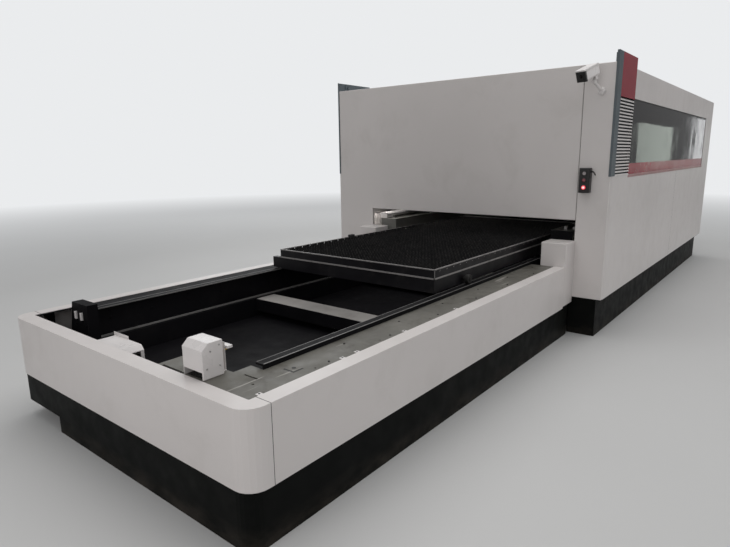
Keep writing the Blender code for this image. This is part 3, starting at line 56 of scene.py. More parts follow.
LANE_X = 0.106                  # middle of the table, its rails and the pallets
Y_NEAR, Y_JOIN = -4.46, -0.745  # near end of the table, front of the enclosure
X_WALL = 1.5                    # outer face of each side wall
ROOF_Z = 2.34
TABLE_TOP = 0.658
DECK_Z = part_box("ledge_right")[1][2]
COVER_HALF = 1.141              # from the lane's middle to the outer face of a cover
RAIL_HALF = 0.785               # from the lane's middle to the inner face of a rail
RAIL_WIDTH = 0.055
RAIL_WEB = 0.008
GUIDE_HALF = 0.88               # from the lane's middle to a gantry guide
BED_TOP = 0.9302
WINDOW_LOW, WINDOW_HIGH = 1.425, 2.09
BUTTON_X, BUTTON_Y = 1.306, -0.8153
BUTTONS = {"button_white": (1.452, 0.015), "button_pink": (1.396, 0.015), "button_red": (1.334, 0.018)}
DOORS = {"door_near": 0.60, "door_far": 2.60}
DOOR_WIDTH = 0.95
HAIR = 0.0002                   # keeps a fitting just off the face that carries it
UP, OUT_X, OUT_Y = (0, 0, 1), (1, 0, 0), (0, 1, 0)
IN_X, IN_Y = (-1, 0, 0), (0, -1, 0)


# Materials

class Shader:
    """A small helper that builds one node material."""

    def __init__(self, name):
        self.mat = bpy.data.materials.new(name)
        self.mat.use_nodes = True
        self.tree = self.mat.node_tree
        self.bsdf = self.tree.nodes["Principled BSDF"]
        self.place = self.node("ShaderNodeTexCoord").outputs["Object"]

    def node(self, kind, **settings):
        item = self.tree.nodes.new(kind)
        for key, value in settings.items():
            setattr(item, key, value)
        return item

    def link(self, source, target):
        self.tree.links.new(source, target)

    def stretched(self, scale):
        mapping = self.node("ShaderNodeMapping")
        mapping.inputs["Scale"].default_value = scale
        self.link(self.place, mapping.inputs["Vector"])
        return mapping.outputs["Vector"]

    def noise(self, scale, detail=3.0, rough=0.5, stretch=None, distortion=0.0):
        item = self.node("ShaderNodeTexNoise")
        item.inputs["Scale"].default_value = scale
        item.inputs["Detail"].default_value = detail
        item.inputs["Roughness"].default_value = rough
        item.inputs["Distortion"].default_value = distortion
        self.link(self.stretched(stretch) if stretch else self.place, item.inputs["Vector"])
        return item.outputs["Fac"]

    def ramp(self, source, low, high, start=0.0, end=1.0):
        item = self.node("ShaderNodeMapRange")
        item.clamp = True
        for key, value in (("From Min", low), ("From Max", high), ("To Min", start), ("To Max", end)):
            item.inputs[key].default_value = value
        self.link(source, item.inputs["Value"])
        return item.outputs["Result"]

    def axis(self, index):
        item = self.node("ShaderNodeSeparateXYZ")
        self.link(self.place, item.inputs[0])
        return item.outputs[index]

    def product(self, a, b):
        item = self.node("ShaderNodeMath", operation="MULTIPLY")
        self.link(a, item.inputs[0])
        self.link(b, item.inputs[1])
        return item.outputs[0]

    def mix(self, factor, a, b):
        item = self.node("ShaderNodeMix", data_type="RGBA")
        for socket, value in ((item.inputs["A"], a), (item.inputs["B"], b)):
            if isinstance(value, tuple):
                socket.default_value = (*value, 1.0)
            else:
                self.link(value, socket)
        self.link(factor, item.inputs["Factor"])
        return item.outputs["Result"]

    def bump(self, height, strength, distance):
        item = self.node("ShaderNodeBump")
        item.inputs["Strength"].default_value = strength
        item.inputs["Distance"].default_value = distance
        self.link(height, item.inputs["Height"])
        self.link(item.outputs["Normal"], self.bsdf.inputs["Normal"])

    def finish(self, color, rough):
        """Links the two maps that every coat has."""
        self.link(color, self.bsdf.inputs["Base Color"])
        self.link(rough, self.bsdf.inputs["Roughness"])


def tint(color, factor):
    return tuple(min(max(c * factor, 0.0), 1.0) for c in color)


def paint(name, color, rough, vary=0.05, patch=0.7, stain=None, stain_amount=0.25, stain_scale=3.5,
          low_dust_and_reflection=None, low_band_top=0.25, grain=420.0, grain_depth=0.00012, spread=0.08, shine=0.5):
    """Sprayed paint: slow tone changes, faint stains, a lighter band towards the floor that is partly dust
    and partly a painted reflection of the floor, and a fine orange peel.
    """
    s = Shader(name)
    tone = s.mix(s.ramp(s.noise(patch, 2.0), 0.3, 0.7), tint(color, 1 - vary), tint(color, 1 + vary))
    if stain:
        spots = s.ramp(s.noise(stain_scale, 9.0, 0.62, (1.0, 1.0, 0.8), 0.3), 0.52, 0.78, 0.0, stain_amount)
        tone = s.mix(spots, tone, stain)
    rough_map = s.ramp(s.noise(9.0, 5.0), 0.3, 0.7, max(rough - spread, 0.02), min(rough + spread, 1.0))
    # Lighter towards the floor: partly dust, partly a painted reflection of the floor.
    if low_dust_and_reflection:
        low = s.ramp(s.axis(2), 0.0, low_band_top, 1.0, 0.0)
        cloud = s.ramp(s.noise(5.0, 8.0, 0.65, (1.0, 1.0, 2.2)), 0.38, 0.66)
        tone = s.mix(s.product(low, cloud), tone, low_dust_and_reflection)
    s.finish(tone, rough_map)
    s.bsdf.inputs["Specular IOR Level"].default_value = shine
    s.bump(s.noise(grain, 2.0), 0.35, grain_depth)
    return s.mat


def machined(name, color, rough, stretch, metal=1.0, vary=0.12, soil_amount=0.35):
    """Bare metal with fine tool lines and a little soil."""
    s = Shader(name)
    lines = s.noise(60.0, 3.0, 0.6, stretch)
    tone = s.mix(lines, tint(color, 1 - vary), tint(color, 1 + vary))
    spots = s.ramp(s.noise(14.0, 8.0, 0.65), 0.52, 0.75, 0.0, soil_amount)
    s.finish(s.mix(spots, tone, (0.05, 0.045, 0.04)), s.ramp(lines, 0.2, 0.8, rough * 0.75, rough * 1.35))
    s.bsdf.inputs["Metallic"].default_value = metal
    s.bump(lines, 0.25, 0.0001)
    return s.mat


def glowing_cap(name, color, core, strength, middle, radius):
    """A button cap that glows from its middle outwards: a lit lamp on the red cap, a painted glint on the
    white and pink caps.
    """
    s = Shader(name)
    offset = s.node("ShaderNodeVectorMath", operation="DISTANCE")
    s.link(s.place, offset.inputs[0])
    offset.inputs[1].default_value = middle
    ring = s.ramp(offset.outputs["Value"], radius * 0.25, radius * 0.95)
    tone = s.mix(s.noise(60.0, 2.0), tint(color, 0.85), tint(color, 1.1))
    s.link(tone, s.bsdf.inputs["Base Color"])
    s.link(s.mix(ring, core, color), s.bsdf.inputs["Emission Color"])
    s.link(s.ramp(ring, 0.0, 1.0, strength, strength * 0.25), s.bsdf.inputs["Emission Strength"])
    s.bsdf.inputs["Roughness"].default_value = 0.25
    s.bump(s.noise(300.0, 2.0), 0.2, 0.0001)
    return s.mat


def slat_steel():
    """Soot-dark slats, paler and browner on the burnt tips."""
    s = Shader("slat_steel")
    tips = s.ramp(s.axis(2), 0.826, 0.853)
    flecks = s.product(tips, s.ramp(s.noise(46.0, 4.0, 0.7), 0.42, 0.6))
    body = s.mix(s.ramp(s.noise(3.0, 6.0, 0.6), 0.35, 0.7), (0.004, 0.004, 0.005), (0.013, 0.012, 0.013))
    s.finish(s.mix(flecks, body, (0.045, 0.042, 0.039)), s.ramp(s.noise(30.0, 5.0), 0.3, 0.7, 0.5, 0.8))
    s.bsdf.inputs["Metallic"].default_value = 0.35
    s.bump(s.noise(160.0, 5.0, 0.7), 0.6, 0.0006)
    return s.mat


def deck_paint():
    """Olive-grey deck, scuffed, with oil marks and pale scratches."""
    s = Shader("deck_paint")
    base = s.mix(s.ramp(s.noise(2.3, 5.0), 0.3, 0.7), (0.090, 0.086, 0.073), (0.140, 0.134, 0.116))
    oil = s.ramp(s.noise(6.5, 9.0, 0.68, None, 0.6), 0.54, 0.70, 0.0, 0.75)
    base = s.mix(oil, base, (0.050, 0.044, 0.034))
    scratch = s.ramp(s.noise(30.0, 3.0, 0.5, (1.0, 0.07, 1.0), 0.4), 0.66, 0.71, 0.0, 0.55)
    s.finish(s.mix(scratch, base, (0.42, 0.40, 0.37)), s.ramp(s.noise(11.0, 6.0), 0.3, 0.7, 0.38, 0.66))
    s.bump(s.noise(120.0, 4.0, 0.6), 0.4, 0.0003)
    return s.mat


def window_sheet(name):
    """Dark tinted sheet, not quite flat."""
    s = Shader(name)
    s.finish(s.mix(s.noise(1.2, 2.0), (0.008, 0.006, 0.006), (0.016, 0.013, 0.012)),
             s.ramp(s.noise(5.0, 6.0), 0.35, 0.75, 0.015, 0.09))
    s.bsdf.inputs["IOR"].default_value = 1.32
    s.bump(s.noise(1.1, 2.0), 0.5, 0.004)
    return s.mat


WHITE = paint("white_coat", (0.65, 0.615, 0.60), 0.36, vary=0.035, stain=(0.40, 0.375, 0.34),
              stain_amount=0.20)
WHITE_CLEAN = paint("white_moulded", (0.70, 0.67, 0.66), 0.32, vary=0.03, patch=6.0, grain=700.0)
# The black coat is lighter towards the floor: partly dust, partly a painted reflection of the floor.
BLACK = paint("black_coat", (0.0040, 0.0046, 0.0042), 0.52, vary=0.25, patch=1.4, stain=(0.017, 0.017, 0.015),
              stain_amount=0.5, stain_scale=2.2, low_dust_and_reflection=(0.034, 0.029, 0.024), low_band_top=0.12, shine=0.06)
BLACK_INSIDE = paint("black_matt", (0.0034, 0.0031, 0.0042), 0.60, vary=0.3, patch=1.6,
                     stain=(0.012, 0.011, 0.011), stain_amount=0.6, stain_scale=4.0, shine=0.12)
FRAME_BLACK = paint("pallet_coat", (0.0060, 0.0055, 0.0070), 0.42, vary=0.3, patch=2.5,
                    stain=(0.030, 0.027, 0.026), stain_amount=0.5, stain_scale=7.0, shine=0.28)
# Pale edge coat: partly wear, partly a painted highlight along the edges.
WEAR_AND_HIGHLIGHT = machined("worn_and_highlit_edge", (0.34, 0.325, 0.32), 0.42, (1.0, 0.2, 1.0), metal=0.55, vary=0.3,
                soil_amount=0.65)
# Pale rail edge coat: partly wear from the wheels, partly a painted highlight on the edges.
RAIL_WEAR_AND_HIGHLIGHT = machined("rail_edge_wear_and_highlight", (0.20, 0.195, 0.19), 0.45, (1.0, 0.05, 1.0), metal=0.4, vary=0.35,
                     soil_amount=0.6)
GREY = paint("grey_coat", (0.20, 0.195, 0.18), 0.48, vary=0.14, patch=2.0, stain=(0.07, 0.062, 0.05),
             stain_amount=0.55)
TUBE_GREY = paint("cross_tube_coat", (0.30, 0.285, 0.27), 0.5, vary=0.12, patch=3.0,
                  stain=(0.12, 0.10, 0.085), stain_amount=0.5, stain_scale=5.0)
STEEL = machined("turned_steel", (0.52, 0.51, 0.50), 0.28, (1.0, 30.0, 30.0))
WHEEL = machined("dark_wheel", (0.014, 0.0135, 0.013), 0.5, (1.0, 24.0, 24.0), metal=0.3)
ALUMINIUM = machined("aluminium_plate", (0.55, 0.56, 0.57), 0.34, (0.15, 4.0, 4.0), vary=0.06,
                     soil_amount=0.15)
COPPER = machined("copper_tip", (0.72, 0.36, 0.20), 0.26, (40.0, 40.0, 1.0), vary=0.1)
BRASS = machined("brass_fitting", (0.60, 0.44, 0.20), 0.32, (20.0, 20.0, 20.0), vary=0.1)
TRIM = paint("blue_grey_coat", (0.085, 0.105, 0.118), 0.42, vary=0.08, patch=3.0, grain=600.0)
RED = paint("deep_red_gloss", (0.27, 0.012, 0.026), 0.20, vary=0.1, patch=1.5, grain=260.0,
            grain_depth=0.00006, spread=0.06, shine=0.22)
# Pale pink bevel coat of the red panel: a painted highlight on its edges.
RED_EDGE_HIGHLIGHT = paint("red_panel_edge_highlight", (0.62, 0.40, 0.40), 0.3, vary=0.05, patch=4.0)
SILL = paint("sill_coat", (0.36, 0.20, 0.195), 0.4, vary=0.12, patch=2.0)
RUBBER = paint("black_rubber", (0.012, 0.012, 0.012), 0.62, vary=0.2, patch=9.0, grain=900.0)
PLASTIC = paint("black_moulded", (0.014, 0.013, 0.013), 0.38, vary=0.15, patch=20.0, grain=1400.0)
SLAT = slat_steel()
DECK = deck_paint()
WINDOW = window_sheet("window_sheet")
LENS = window_sheet("lens_cover")
# The red cap is a lit lamp; the faint glow on the white and pink caps is a painted glint.
GLOWING_CAPS = {node: glowing_cap(cap, color, core, strength, (BUTTON_X, BUTTON_Y, BUTTONS[node][0]), BUTTONS[node][1])
         for node, cap, color, core, strength in (
             ("button_white", "cap_white", (0.30, 0.27, 0.27), (0.5, 0.45, 0.45), 0.05),
             ("button_pink", "cap_pink", (0.17, 0.05, 0.06), (0.5, 0.25, 0.25), 0.12),
             ("button_red", "cap_red", (0.80, 0.03, 0.06), (1.0, 0.62, 0.60), 1.5))}

# The coat of each material slot, then the nodes that differ from their slot.
COATS = {"white_paint": WHITE, "black_paint": BLACK, "pallet_steel": FRAME_BLACK, "grey_steel": GREY,
         "bright_steel": STEEL, "aluminium": ALUMINIUM, "copper_nozzle": COPPER, "blue_grey_trim": TRIM,
         "red_panel": RED, "dark_window": WINDOW, "black_plastic": PLASTIC}
SPECIAL = dict(GLOWING_CAPS)
for coat, nodes in (
        (BLACK_INSIDE, "table_frame table_rail_left table_rail_right rail_end_tower ledge_left"),
        (WHITE_CLEAN, "camera_body camera_bracket stop_cover motor_cover"),
        (WHEEL, "drive_chain upper_wheelset_near upper_wheelset_far lower_wheelset_near lower_wheelset_far"),
        (SLAT, "upper_pallet_grate lower_pallet_grate"), (DECK, "ledge_right"), (GREY, "drive_motor")):
    for node in nodes.split():
        SPECIAL[node] = coat

# Edge width, segments and the material of the edge, for nodes that show soft or worn edges; the pale edge
# coats are partly wear and partly painted highlight.
EDGES = {}
for width, segments, coat, nodes in (
        (0.0022, 2, WEAR_AND_HIGHLIGHT, "upper_pallet_frame lower_pallet_frame"),
        (0.0020, 2, RAIL_WEAR_AND_HIGHLIGHT, "table_rail_left table_rail_right lift_frame"),
        (0.0030, 2, None, "rail_end_tower roof"),
        (0.0010, 1, None, "ledge_left"), (0.0010, 1, WEAR_AND_HIGHLIGHT, "ledge_right"),
        (0.0011, 2, None, "near_cover left_cover right_cover"),
        (0.0015, 2, None, "table_skirt enclosure_skirt head_slide lift_gate"),
        (0.0020, 2, None, "side_panel_left gantry_beam cross_carriage"),
        (0.0040, 3, None, "side_panel_right"), (0.0040, 2, None, "bed_frame"),
        (0.0008, 1, None, "louvre"), (0.0008, 2, None, "trim_left trim_right"),
        (0.0030, 2, RED_EDGE_HIGHLIGHT, "red_panel"), (0.0030, 3, None, "motor_cover"),
        (0.0012, 2, None, "button_box")):
    for node in nodes.split():
        EDGES[node] = (width, segments, coat)


def add_bevel(obj, width, segments, edge_index=-1, angle=35):
    bevel = obj.modifiers.new("edges", "BEVEL")
    bevel.width = width
    bevel.segments = segments
    bevel.limit_method = "ANGLE"
    bevel.angle_limit = math.radians(angle)
    bevel.use_clamp_overlap = True
    bevel.material = edge_index


def second_coat(name, mat, picks):
    mesh = NODES[name].data
    mesh.materials.append(mat)
    for face in mesh.polygons:
        if picks(face):
            face.material_index = len(mesh.materials) - 1


def on_cross_tube(face):
    """The top of the tube that crosses the table under the pallets. Painted light: only its upward faces take
    the grey coat, its sides keep the frame's black.
    """
    x, y, z = face.center
    return -2.80 < y < -2.59 and 0.37 < z < 0.485 and abs(x - LANE_X) < 0.79 and face.normal.z > 0.5


def dress_nodes():
    for row in frame["record"]["subparts"]:
        name = row["node"]
        obj = NODES[name]
        obj.data.materials.clear()
        obj.data.materials.append(SPECIAL.get(name) or COATS[row["material_slot"]])
        if name in EDGES:
            width, segments, edge = EDGES[name]
            index = -1
            if edge is not None:
                obj.data.materials.append(edge)
                index = 1
            add_bevel(obj, width, segments, index)
    blade_back = 1.482
    # Painted light: the cross tube's top faces grey, its sides black.
    second_coat("table_frame", TUBE_GREY, on_cross_tube)
    # Painted shade: the bed frame's front faces right of x = 0.5, in the shade of the opening, are black.
    second_coat("bed_frame", BLACK_INSIDE, lambda face: face.normal.y < -0.9 and face.center.x > 0.5)
    second_coat("red_panel", TRIM, lambda face: face.normal.y < -0.9 or face.normal.x < -0.9)
    # Painted shade: black behind the blades and blue-grey on the blades' sloping faces, for the shade between
    # the blades.
    second_coat("louvre", RUBBER, lambda face: face.center.x < blade_back)
    second_coat("louvre", TRIM, lambda face: face.center.x >= blade_back and abs(face.normal.z) > 0.3)


dress_nodes()


# Mesh helpers

def finish_piece(name, bm, body, mat, bevel=0.0, smooth=False, extra=()):
    bmesh.ops.recalc_face_normals(bm, faces=bm.faces)
    mesh = bpy.data.meshes.new(name)
    bm.to_mesh(mesh)
    bm.free()
    obj = bpy.data.objects.new(name, mesh)
    bpy.context.scene.collection.objects.link(obj)
    for item in (mat, *extra):
        mesh.materials.append(item)
    if smooth:
        mesh.polygons.foreach_set("use_smooth", [True] * len(mesh.polygons))
        mesh.set_sharp_from_angle(angle=math.radians(40))
    if bevel:
        add_bevel(obj, bevel, 2)
    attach(obj, body)
    return obj


def block(bm, low, high):
    low, high = Vector(low), Vector(high)
    place = Matrix.Translation((low + high) / 2)
    bmesh.ops.create_cube(bm, size=1.0, matrix=place @ Matrix.Diagonal((*(high - low), 1.0)))


def circle(count, start=0.0):
    """Cosine and sine of count even steps round a circle."""
    for i in range(count):
        angle = start + 2 * math.pi * i / count
        yield math.cos(angle), math.sin(angle)


def join_rings(bm, rings, caps=True):
    """Faces between neighbouring rings of vertices, and over both ends."""
    steps = len(rings[0])
    for a, b in zip(rings, rings[1:]):
        for i in range(steps):
            j = (i + 1) % steps
            bm.faces.new((a[i], a[j], b[j], b[i]))
    if caps:
        bm.faces.new(rings[0][::-1])
        bm.faces.new(rings[-1])


def lathe(bm, start, axis, profile, steps=24):
    """Rings of (radius, distance) along an axis, closed at both ends."""
    turn = Vector(axis).normalized().to_track_quat("Z", "Y").to_matrix()
    start = Vector(start)
    join_rings(bm, [[bm.verts.new(start + turn @ Vector((radius * c, radius * s, reach)))
                     for c, s in circle(steps)] for radius, reach in profile])


def prism(bm, near, far):
    """Closes two like outlines of vertices to a solid."""
    bm.faces.new(near)
    bm.faces.new(far[::-1])
    for i in range(len(near)):
        j = (i + 1) % len(near)
        bm.faces.new((near[i], near[j], far[j], far[i]))


def drawn(bm, outline, plane, start, end):
    """A flat outline drawn out along the axis that its plane leaves."""
    order = {"XY": (0, 1, 2), "XZ": (0, 2, 1), "YZ": (1, 2, 0)}[plane]
    rows = []
    for depth in (start, end):
        row = []
        for a, b in outline:
            point = [0.0, 0.0, 0.0]
            point[order[0]], point[order[1]], point[order[2]] = a, b, depth
            row.append(bm.verts.new(point))
        rows.append(row)
    prism(bm, *rows)


def screw(bm, place, axis, size=0.006):
    """A hexagon head on a washer, standing on the surface at place."""
    lathe(bm, place, axis, [(size * 1.7, 0.0), (size * 1.7, size * 0.22), (size * 1.45, size * 0.3)], 20)
    lathe(bm, place, axis, [(size * 1.1, size * 0.1), (size * 1.1, size * 0.85), (size * 0.9, size * 1.0)], 6)


def cover_screw(bm, place, axis):
    """A small flat head on a sheet cover."""
    lathe(bm, place, axis, [(0.0045, -HAIR), (0.0045, 0.0012), (0.0030, 0.0022)], 16)


def wall_screw(bm, y, z):
    """A flat head on the left wall."""
    lathe(bm, (-X_WALL, y, z), IN_X, [(0.007, -0.0005), (0.007, 0.0016), (0.0045, 0.0024)], 18)


def sweep(bm, points, radius, steps=10):
    """A round tube along points, with closed ends."""
    points = [Vector(p) for p in points]
    rings = []
    last = Vector(UP)
    for i, point in enumerate(points):
        ahead = points[min(i + 1, len(points) - 1)] - points[max(i - 1, 0)]
        ahead.normalize()
        side = ahead.cross(last)
        if side.length < 0.05:
            side = ahead.cross(Vector((0, 1, 0.2)))
        side.normalize()
        last = side.cross(ahead)
        rings.append([bm.verts.new(point + (side * c + last * s) * radius) for c, s in circle(steps)])
    join_rings(bm, rings)


def smooth_path(points, steps=8):
    """A curve through the points."""
    points = [Vector(p) for p in points]
    ends = [points[0] * 2 - points[1]] + points + [points[-1] * 2 - points[-2]]
    result = []
    for i in range(1, len(ends) - 2):
        a, b, c, d = ends[i - 1:i + 3]
        for k in range(steps):
            t = k / steps
            result.append(((2 * b) + (c - a) * t + (2 * a - 5 * b + 4 * c - d) * t ** 2 +
                           (3 * b - a - 3 * c + d) * t ** 3) / 2)
    result.append(points[-1])
    return result


# Pallets

PALLET_TOP = 0.851
GRATE_LOW = 0.787
SLAT_PITCH = 0.0955
SLAT_HALF = 0.0015
TEETH = 50
TOOTH = 0.020
COMB = 0.006            # thickness of the bars that hold the slats


def make_pallet(level, drop, stop_rise):
    """Serrated slats in comb bars, with the pallet's screws, pale edge strips that are partly wear and partly
    painted highlight, and stop. Tips are worn unevenly.
    """
    node, body = level + "_pallet_grate", level + "_pallet"
    (x0, y0, _), (x1, y1, _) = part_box(node)
    low, top = GRATE_LOW - drop, PALLET_TOP - drop
    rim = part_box(level + "_pallet_frame")[1][2]
    count = int((y1 - y0 - SLAT_PITCH * 0.8) / SLAT_PITCH) + 1
    first = (y0 + y1) / 2 - (count - 1) * SLAT_PITCH / 2
    rows = [first + k * SLAT_PITCH for k in range(count)]
    inset = 0.0065
    pitch = (x1 - x0 - 2 * inset) / TEETH
    bm = bmesh.new()
    for y in rows:
        lean = RNG.uniform(-0.0012, 0.0012)
        profile = [(x0 + inset, low), (x1 - inset, low), (x1 - inset, top - TOOTH)]
        for i in range(TEETH):
            right = x1 - inset - i * pitch
            wear = RNG.random() ** 3 * 0.005
            profile += [(right - pitch * 0.36, top - wear),
                        (right - pitch * 0.64, top - wear - RNG.uniform(0.0, 0.0008)),
                        (right - pitch, top - TOOTH)]
        prism(bm, *([bm.verts.new((x, y + side + lean * ((z - low) / (top - low)), z)) for x, z in profile]
                    for side in (-SLAT_HALF, SLAT_HALF)))
    slats = finish_piece(level + "_slats", bm, body, SLAT)
    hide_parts(node)

    bm = bmesh.new()
    bar_top = top - COMB
    notch = bar_top - 0.014
    end_gap = 0.0062
    for x, facing in ((x0, 1), (x1, -1)):
        points = [(y0 + end_gap, low), (y0 + end_gap, bar_top)]
        for y in rows:
            points += [(y - 0.0045, bar_top), (y - 0.0026, notch), (y + 0.0026, notch), (y + 0.0045, bar_top)]
        points += [(y1 - end_gap, bar_top), (y1 - end_gap, low)]
        drawn(bm, points, "YZ", *sorted((x, x + facing * COMB)))
    for y, facing in ((y0, 1), (y1, -1)):
        drawn(bm, [(x0, low), (x1, low), (x1, bar_top), (x0, bar_top)], "XZ", *sorted((y, y + facing * COMB)))
    for share in (0.25, 0.5, 0.75):
        x = x0 + (x1 - x0) * share
        block(bm, (x - 0.003, y0 + inset, low), (x + 0.003, y1 - inset, low + 0.024))
    combs = finish_piece(level + "_slat_combs", bm, body, FRAME_BLACK, extra=(WEAR_AND_HIGHLIGHT,))
    add_bevel(combs, 0.0014, 1, 1, 60)

    bm = bmesh.new()
    for x in (x0 + 0.022, x1 - 0.022):
        for k in range(9):
            screw(bm, (x, y0 + 0.2 + k * (y1 - y0 - 0.4) / 8, rim), UP, 0.0055)
    finish_piece(level + "_pallet_fixings", bm, body, FRAME_BLACK, smooth=True)

    bm = bmesh.new()
    # Pale strips on the rim and the grate's top edge: partly wear, partly painted highlight.
    for low_z, high_z, proud, width in ((rim - 0.0085, rim + 0.0035, 0.004, 0.006),
                                        (top - 0.005, top + 0.0005, 0.0008, 0.008)):
        for y, facing in ((y0, -1), (y1, 1)):
            a, b = sorted((y + facing * proud, y - facing * width))
            block(bm, (x0 - proud, a, low_z), (x1 + proud, b, high_z))
        for x, facing in ((x0, -1), (x1, 1)):
            a, b = sorted((x + facing * proud, x - facing * width))
            block(bm, (a, y0 - proud, low_z), (b, y1 + proud, high_z))
    finish_piece(level + "_pallet_wear_and_highlight_edges", bm, body, WEAR_AND_HIGHLIGHT, 0.0010)

    bm = bmesh.new()
    block(bm, (x0 - 0.006, y0 + 0.90, top - 0.012), (x0 + 0.030, y0 + 0.965, top + stop_rise))
    finish_piece(level + "_pallet_stop", bm, body, RUBBER, 0.004)


make_pallet("upper", 0.0, 0.020)
make_pallet("lower", 0.19, 0.012)


# Exchange table

def make_rails():
    """Bolts through the rails' webs, and pale strips along the rails: the running lips are partly wear and
    partly painted highlight, the strip on the lower flange is a painted highlight.
    """
    (_, start, _), (_, end, _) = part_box("table_rail_right")
    bolt_pitch = 0.30
    bm = bmesh.new()
    for sign in (-1, 1):
        x = LANE_X + sign * (RAIL_HALF + RAIL_WIDTH - RAIL_WEB)
        y = start + 0.12
        while y < end - 0.1:
            for z in (0.59, 0.64):
                screw(bm, (x, y, z), (-sign, 0, 0), 0.007)
            y += bolt_pitch
    finish_piece("rail_web_bolts", bm, "machine", BLACK_INSIDE, smooth=True)

    bm = bmesh.new()
    for sign in (-1, 1):
        inner, outer = LANE_X + sign * RAIL_HALF, LANE_X + sign * (RAIL_HALF + RAIL_WIDTH)
        # The lowest strip is a painted highlight on the lower flange's top; the two top strips are partly
        # wheel wear, partly painted highlight.
        for x0, x1, z0, z1 in ((inner - sign * 0.005, inner + sign * 0.003, 0.484, 0.497),
                               (inner - sign * 0.001, inner + sign * 0.003, 0.6725, 0.6803),
                               (outer - sign * 0.007, outer + sign * HAIR, 0.6790, 0.6806)):
            a, b = sorted((x0, x1))
            block(bm, (a, start + 0.004, z0), (b, end - 0.03, z1))
    finish_piece("rail_wear_and_highlight_strips", bm, "machine", RAIL_WEAR_AND_HIGHLIGHT, 0.0006)


def make_deck_details():
    """Screws, the joint of a lift-out plate with its finger hole, and the tabs along the right flange."""
    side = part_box("ledge_right")[1][0]
    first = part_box("table_rail_right")[0][1] + 0.16
    bm = bmesh.new()
    for i in range(6):
        for dx, dy in ((0.125, 0.10), (0.235, 0.34)):
            screw(bm, (side - dx, first + i * 0.5 + dy, DECK_Z), UP, 0.004)
    finish_piece("deck_screws", bm, "machine", WHEEL, smooth=True)

    bm = bmesh.new()
    groove = DECK_Z + 0.0004
    block(bm, (1.013, -4.047, DECK_Z - 0.001), (1.084, -4.037, groove))
    block(bm, (1.074, -4.0372, DECK_Z - 0.001), (1.084, -3.981, groove))
    lathe(bm, (1.042, -4.004, DECK_Z), UP, [(0.011, -0.001), (0.011, 0.0004)], 20)
    finish_piece("deck_grooves", bm, "machine", RUBBER)

    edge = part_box("right_cover")[0][0]
    tabs = (-4.300, -3.772, -3.660, -3.240, -2.665)
    tab_top = DECK_Z + 0.0026
    bm = bmesh.new()
    for y in tabs:
        block(bm, (edge - 0.024, y - 0.013, DECK_Z + 0.0003), (edge - 0.0003, y + 0.013, tab_top))
    finish_piece("flange_tabs", bm, "machine", WHITE_CLEAN, 0.0006)
    bm = bmesh.new()
    for y in tabs:
        lathe(bm, (edge - 0.013, y, tab_top), UP, [(0.0052, -0.0004), (0.0052, 0.0010), (0.0035, 0.0018)], 14)
    finish_piece("flange_tab_screws", bm, "machine", WHEEL, smooth=True)


def make_stop_details():
    """The sensor on its bracket, and the cylinder that shows in the cover's open foot, with the screws."""
    x, y = 0.797, -4.226
    bm = bmesh.new()
    block(bm, (x - 0.016, y - 0.020, DECK_Z + HAIR), (x + 0.016, y + 0.014, DECK_Z + 0.0035))
    block(bm, (x - 0.013, y + 0.010, DECK_Z + 0.003), (x + 0.013, y + 0.014, 0.792))
    block(bm, (x - 0.026, y + 0.014, 0.762), (x + 0.030, y + 0.044, 0.775))
    finish_piece("sensor_bracket", bm, "machine", WHITE_CLEAN, 0.0012)
    bm = bmesh.new()
    barrel = [(0.006, 0), (0.007, 0.002), (0.007, 0.050), (0.005, 0.054)]
    lathe(bm, (x - 0.010, y - 0.008, 0.748), OUT_Y, barrel, 16)
    lathe(bm, (x - 0.010, y + 0.005, 0.748), OUT_Y, [(0.011, 0), (0.011, 0.005)], 6)
    finish_piece("stop_sensor", bm, "machine", BRASS, smooth=True)

    lo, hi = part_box("stop_cover")
    bm = bmesh.new()
    cylinder = [(0.028, 0), (0.028, 0.010), (0.020, 0.012), (0.020, 0.034)]
    lathe(bm, ((lo[0] + hi[0]) / 2, lo[1] + 0.045, DECK_Z + HAIR), UP, cylinder, 20)
    block(bm, (lo[0] + 0.016, lo[1] + 0.012, DECK_Z + HAIR), (hi[0] - 0.016, lo[1] + 0.085, DECK_Z + 0.006))
    finish_piece("stop_cylinder", bm, "machine", WHEEL, 0.001)
    bm = bmesh.new()
    for y, z in ((lo[1] + 0.022, lo[2] + 0.05), (hi[1] - 0.022, lo[2] + 0.05),
                 (lo[1] + 0.045, hi[2] - 0.04), (hi[1] - 0.022, hi[2] - 0.02)):
        cover_screw(bm, (hi[0], y, z), OUT_X)
    finish_piece("stop_cover_screws", bm, "machine", STEEL, smooth=True)


def make_motor_details():
    lo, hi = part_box("motor_cover")
    bm = bmesh.new()
    block(bm, (lo[0] + 0.004, hi[1] + HAIR, hi[2] - 0.09), (lo[0] + 0.165, hi[1] + 0.0028, hi[2] + 0.018))
    finish_piece("motor_back_plate", bm, "machine", WHITE_CLEAN, 0.0008)
    bm = bmesh.new()
    for x in (lo[0] + 0.03, hi[0] - 0.03):
        for z in (0.58, 0.50):
            cover_screw(bm, (x, lo[1], z), IN_Y)
    finish_piece("motor_cover_screws", bm, "machine", STEEL, smooth=True)


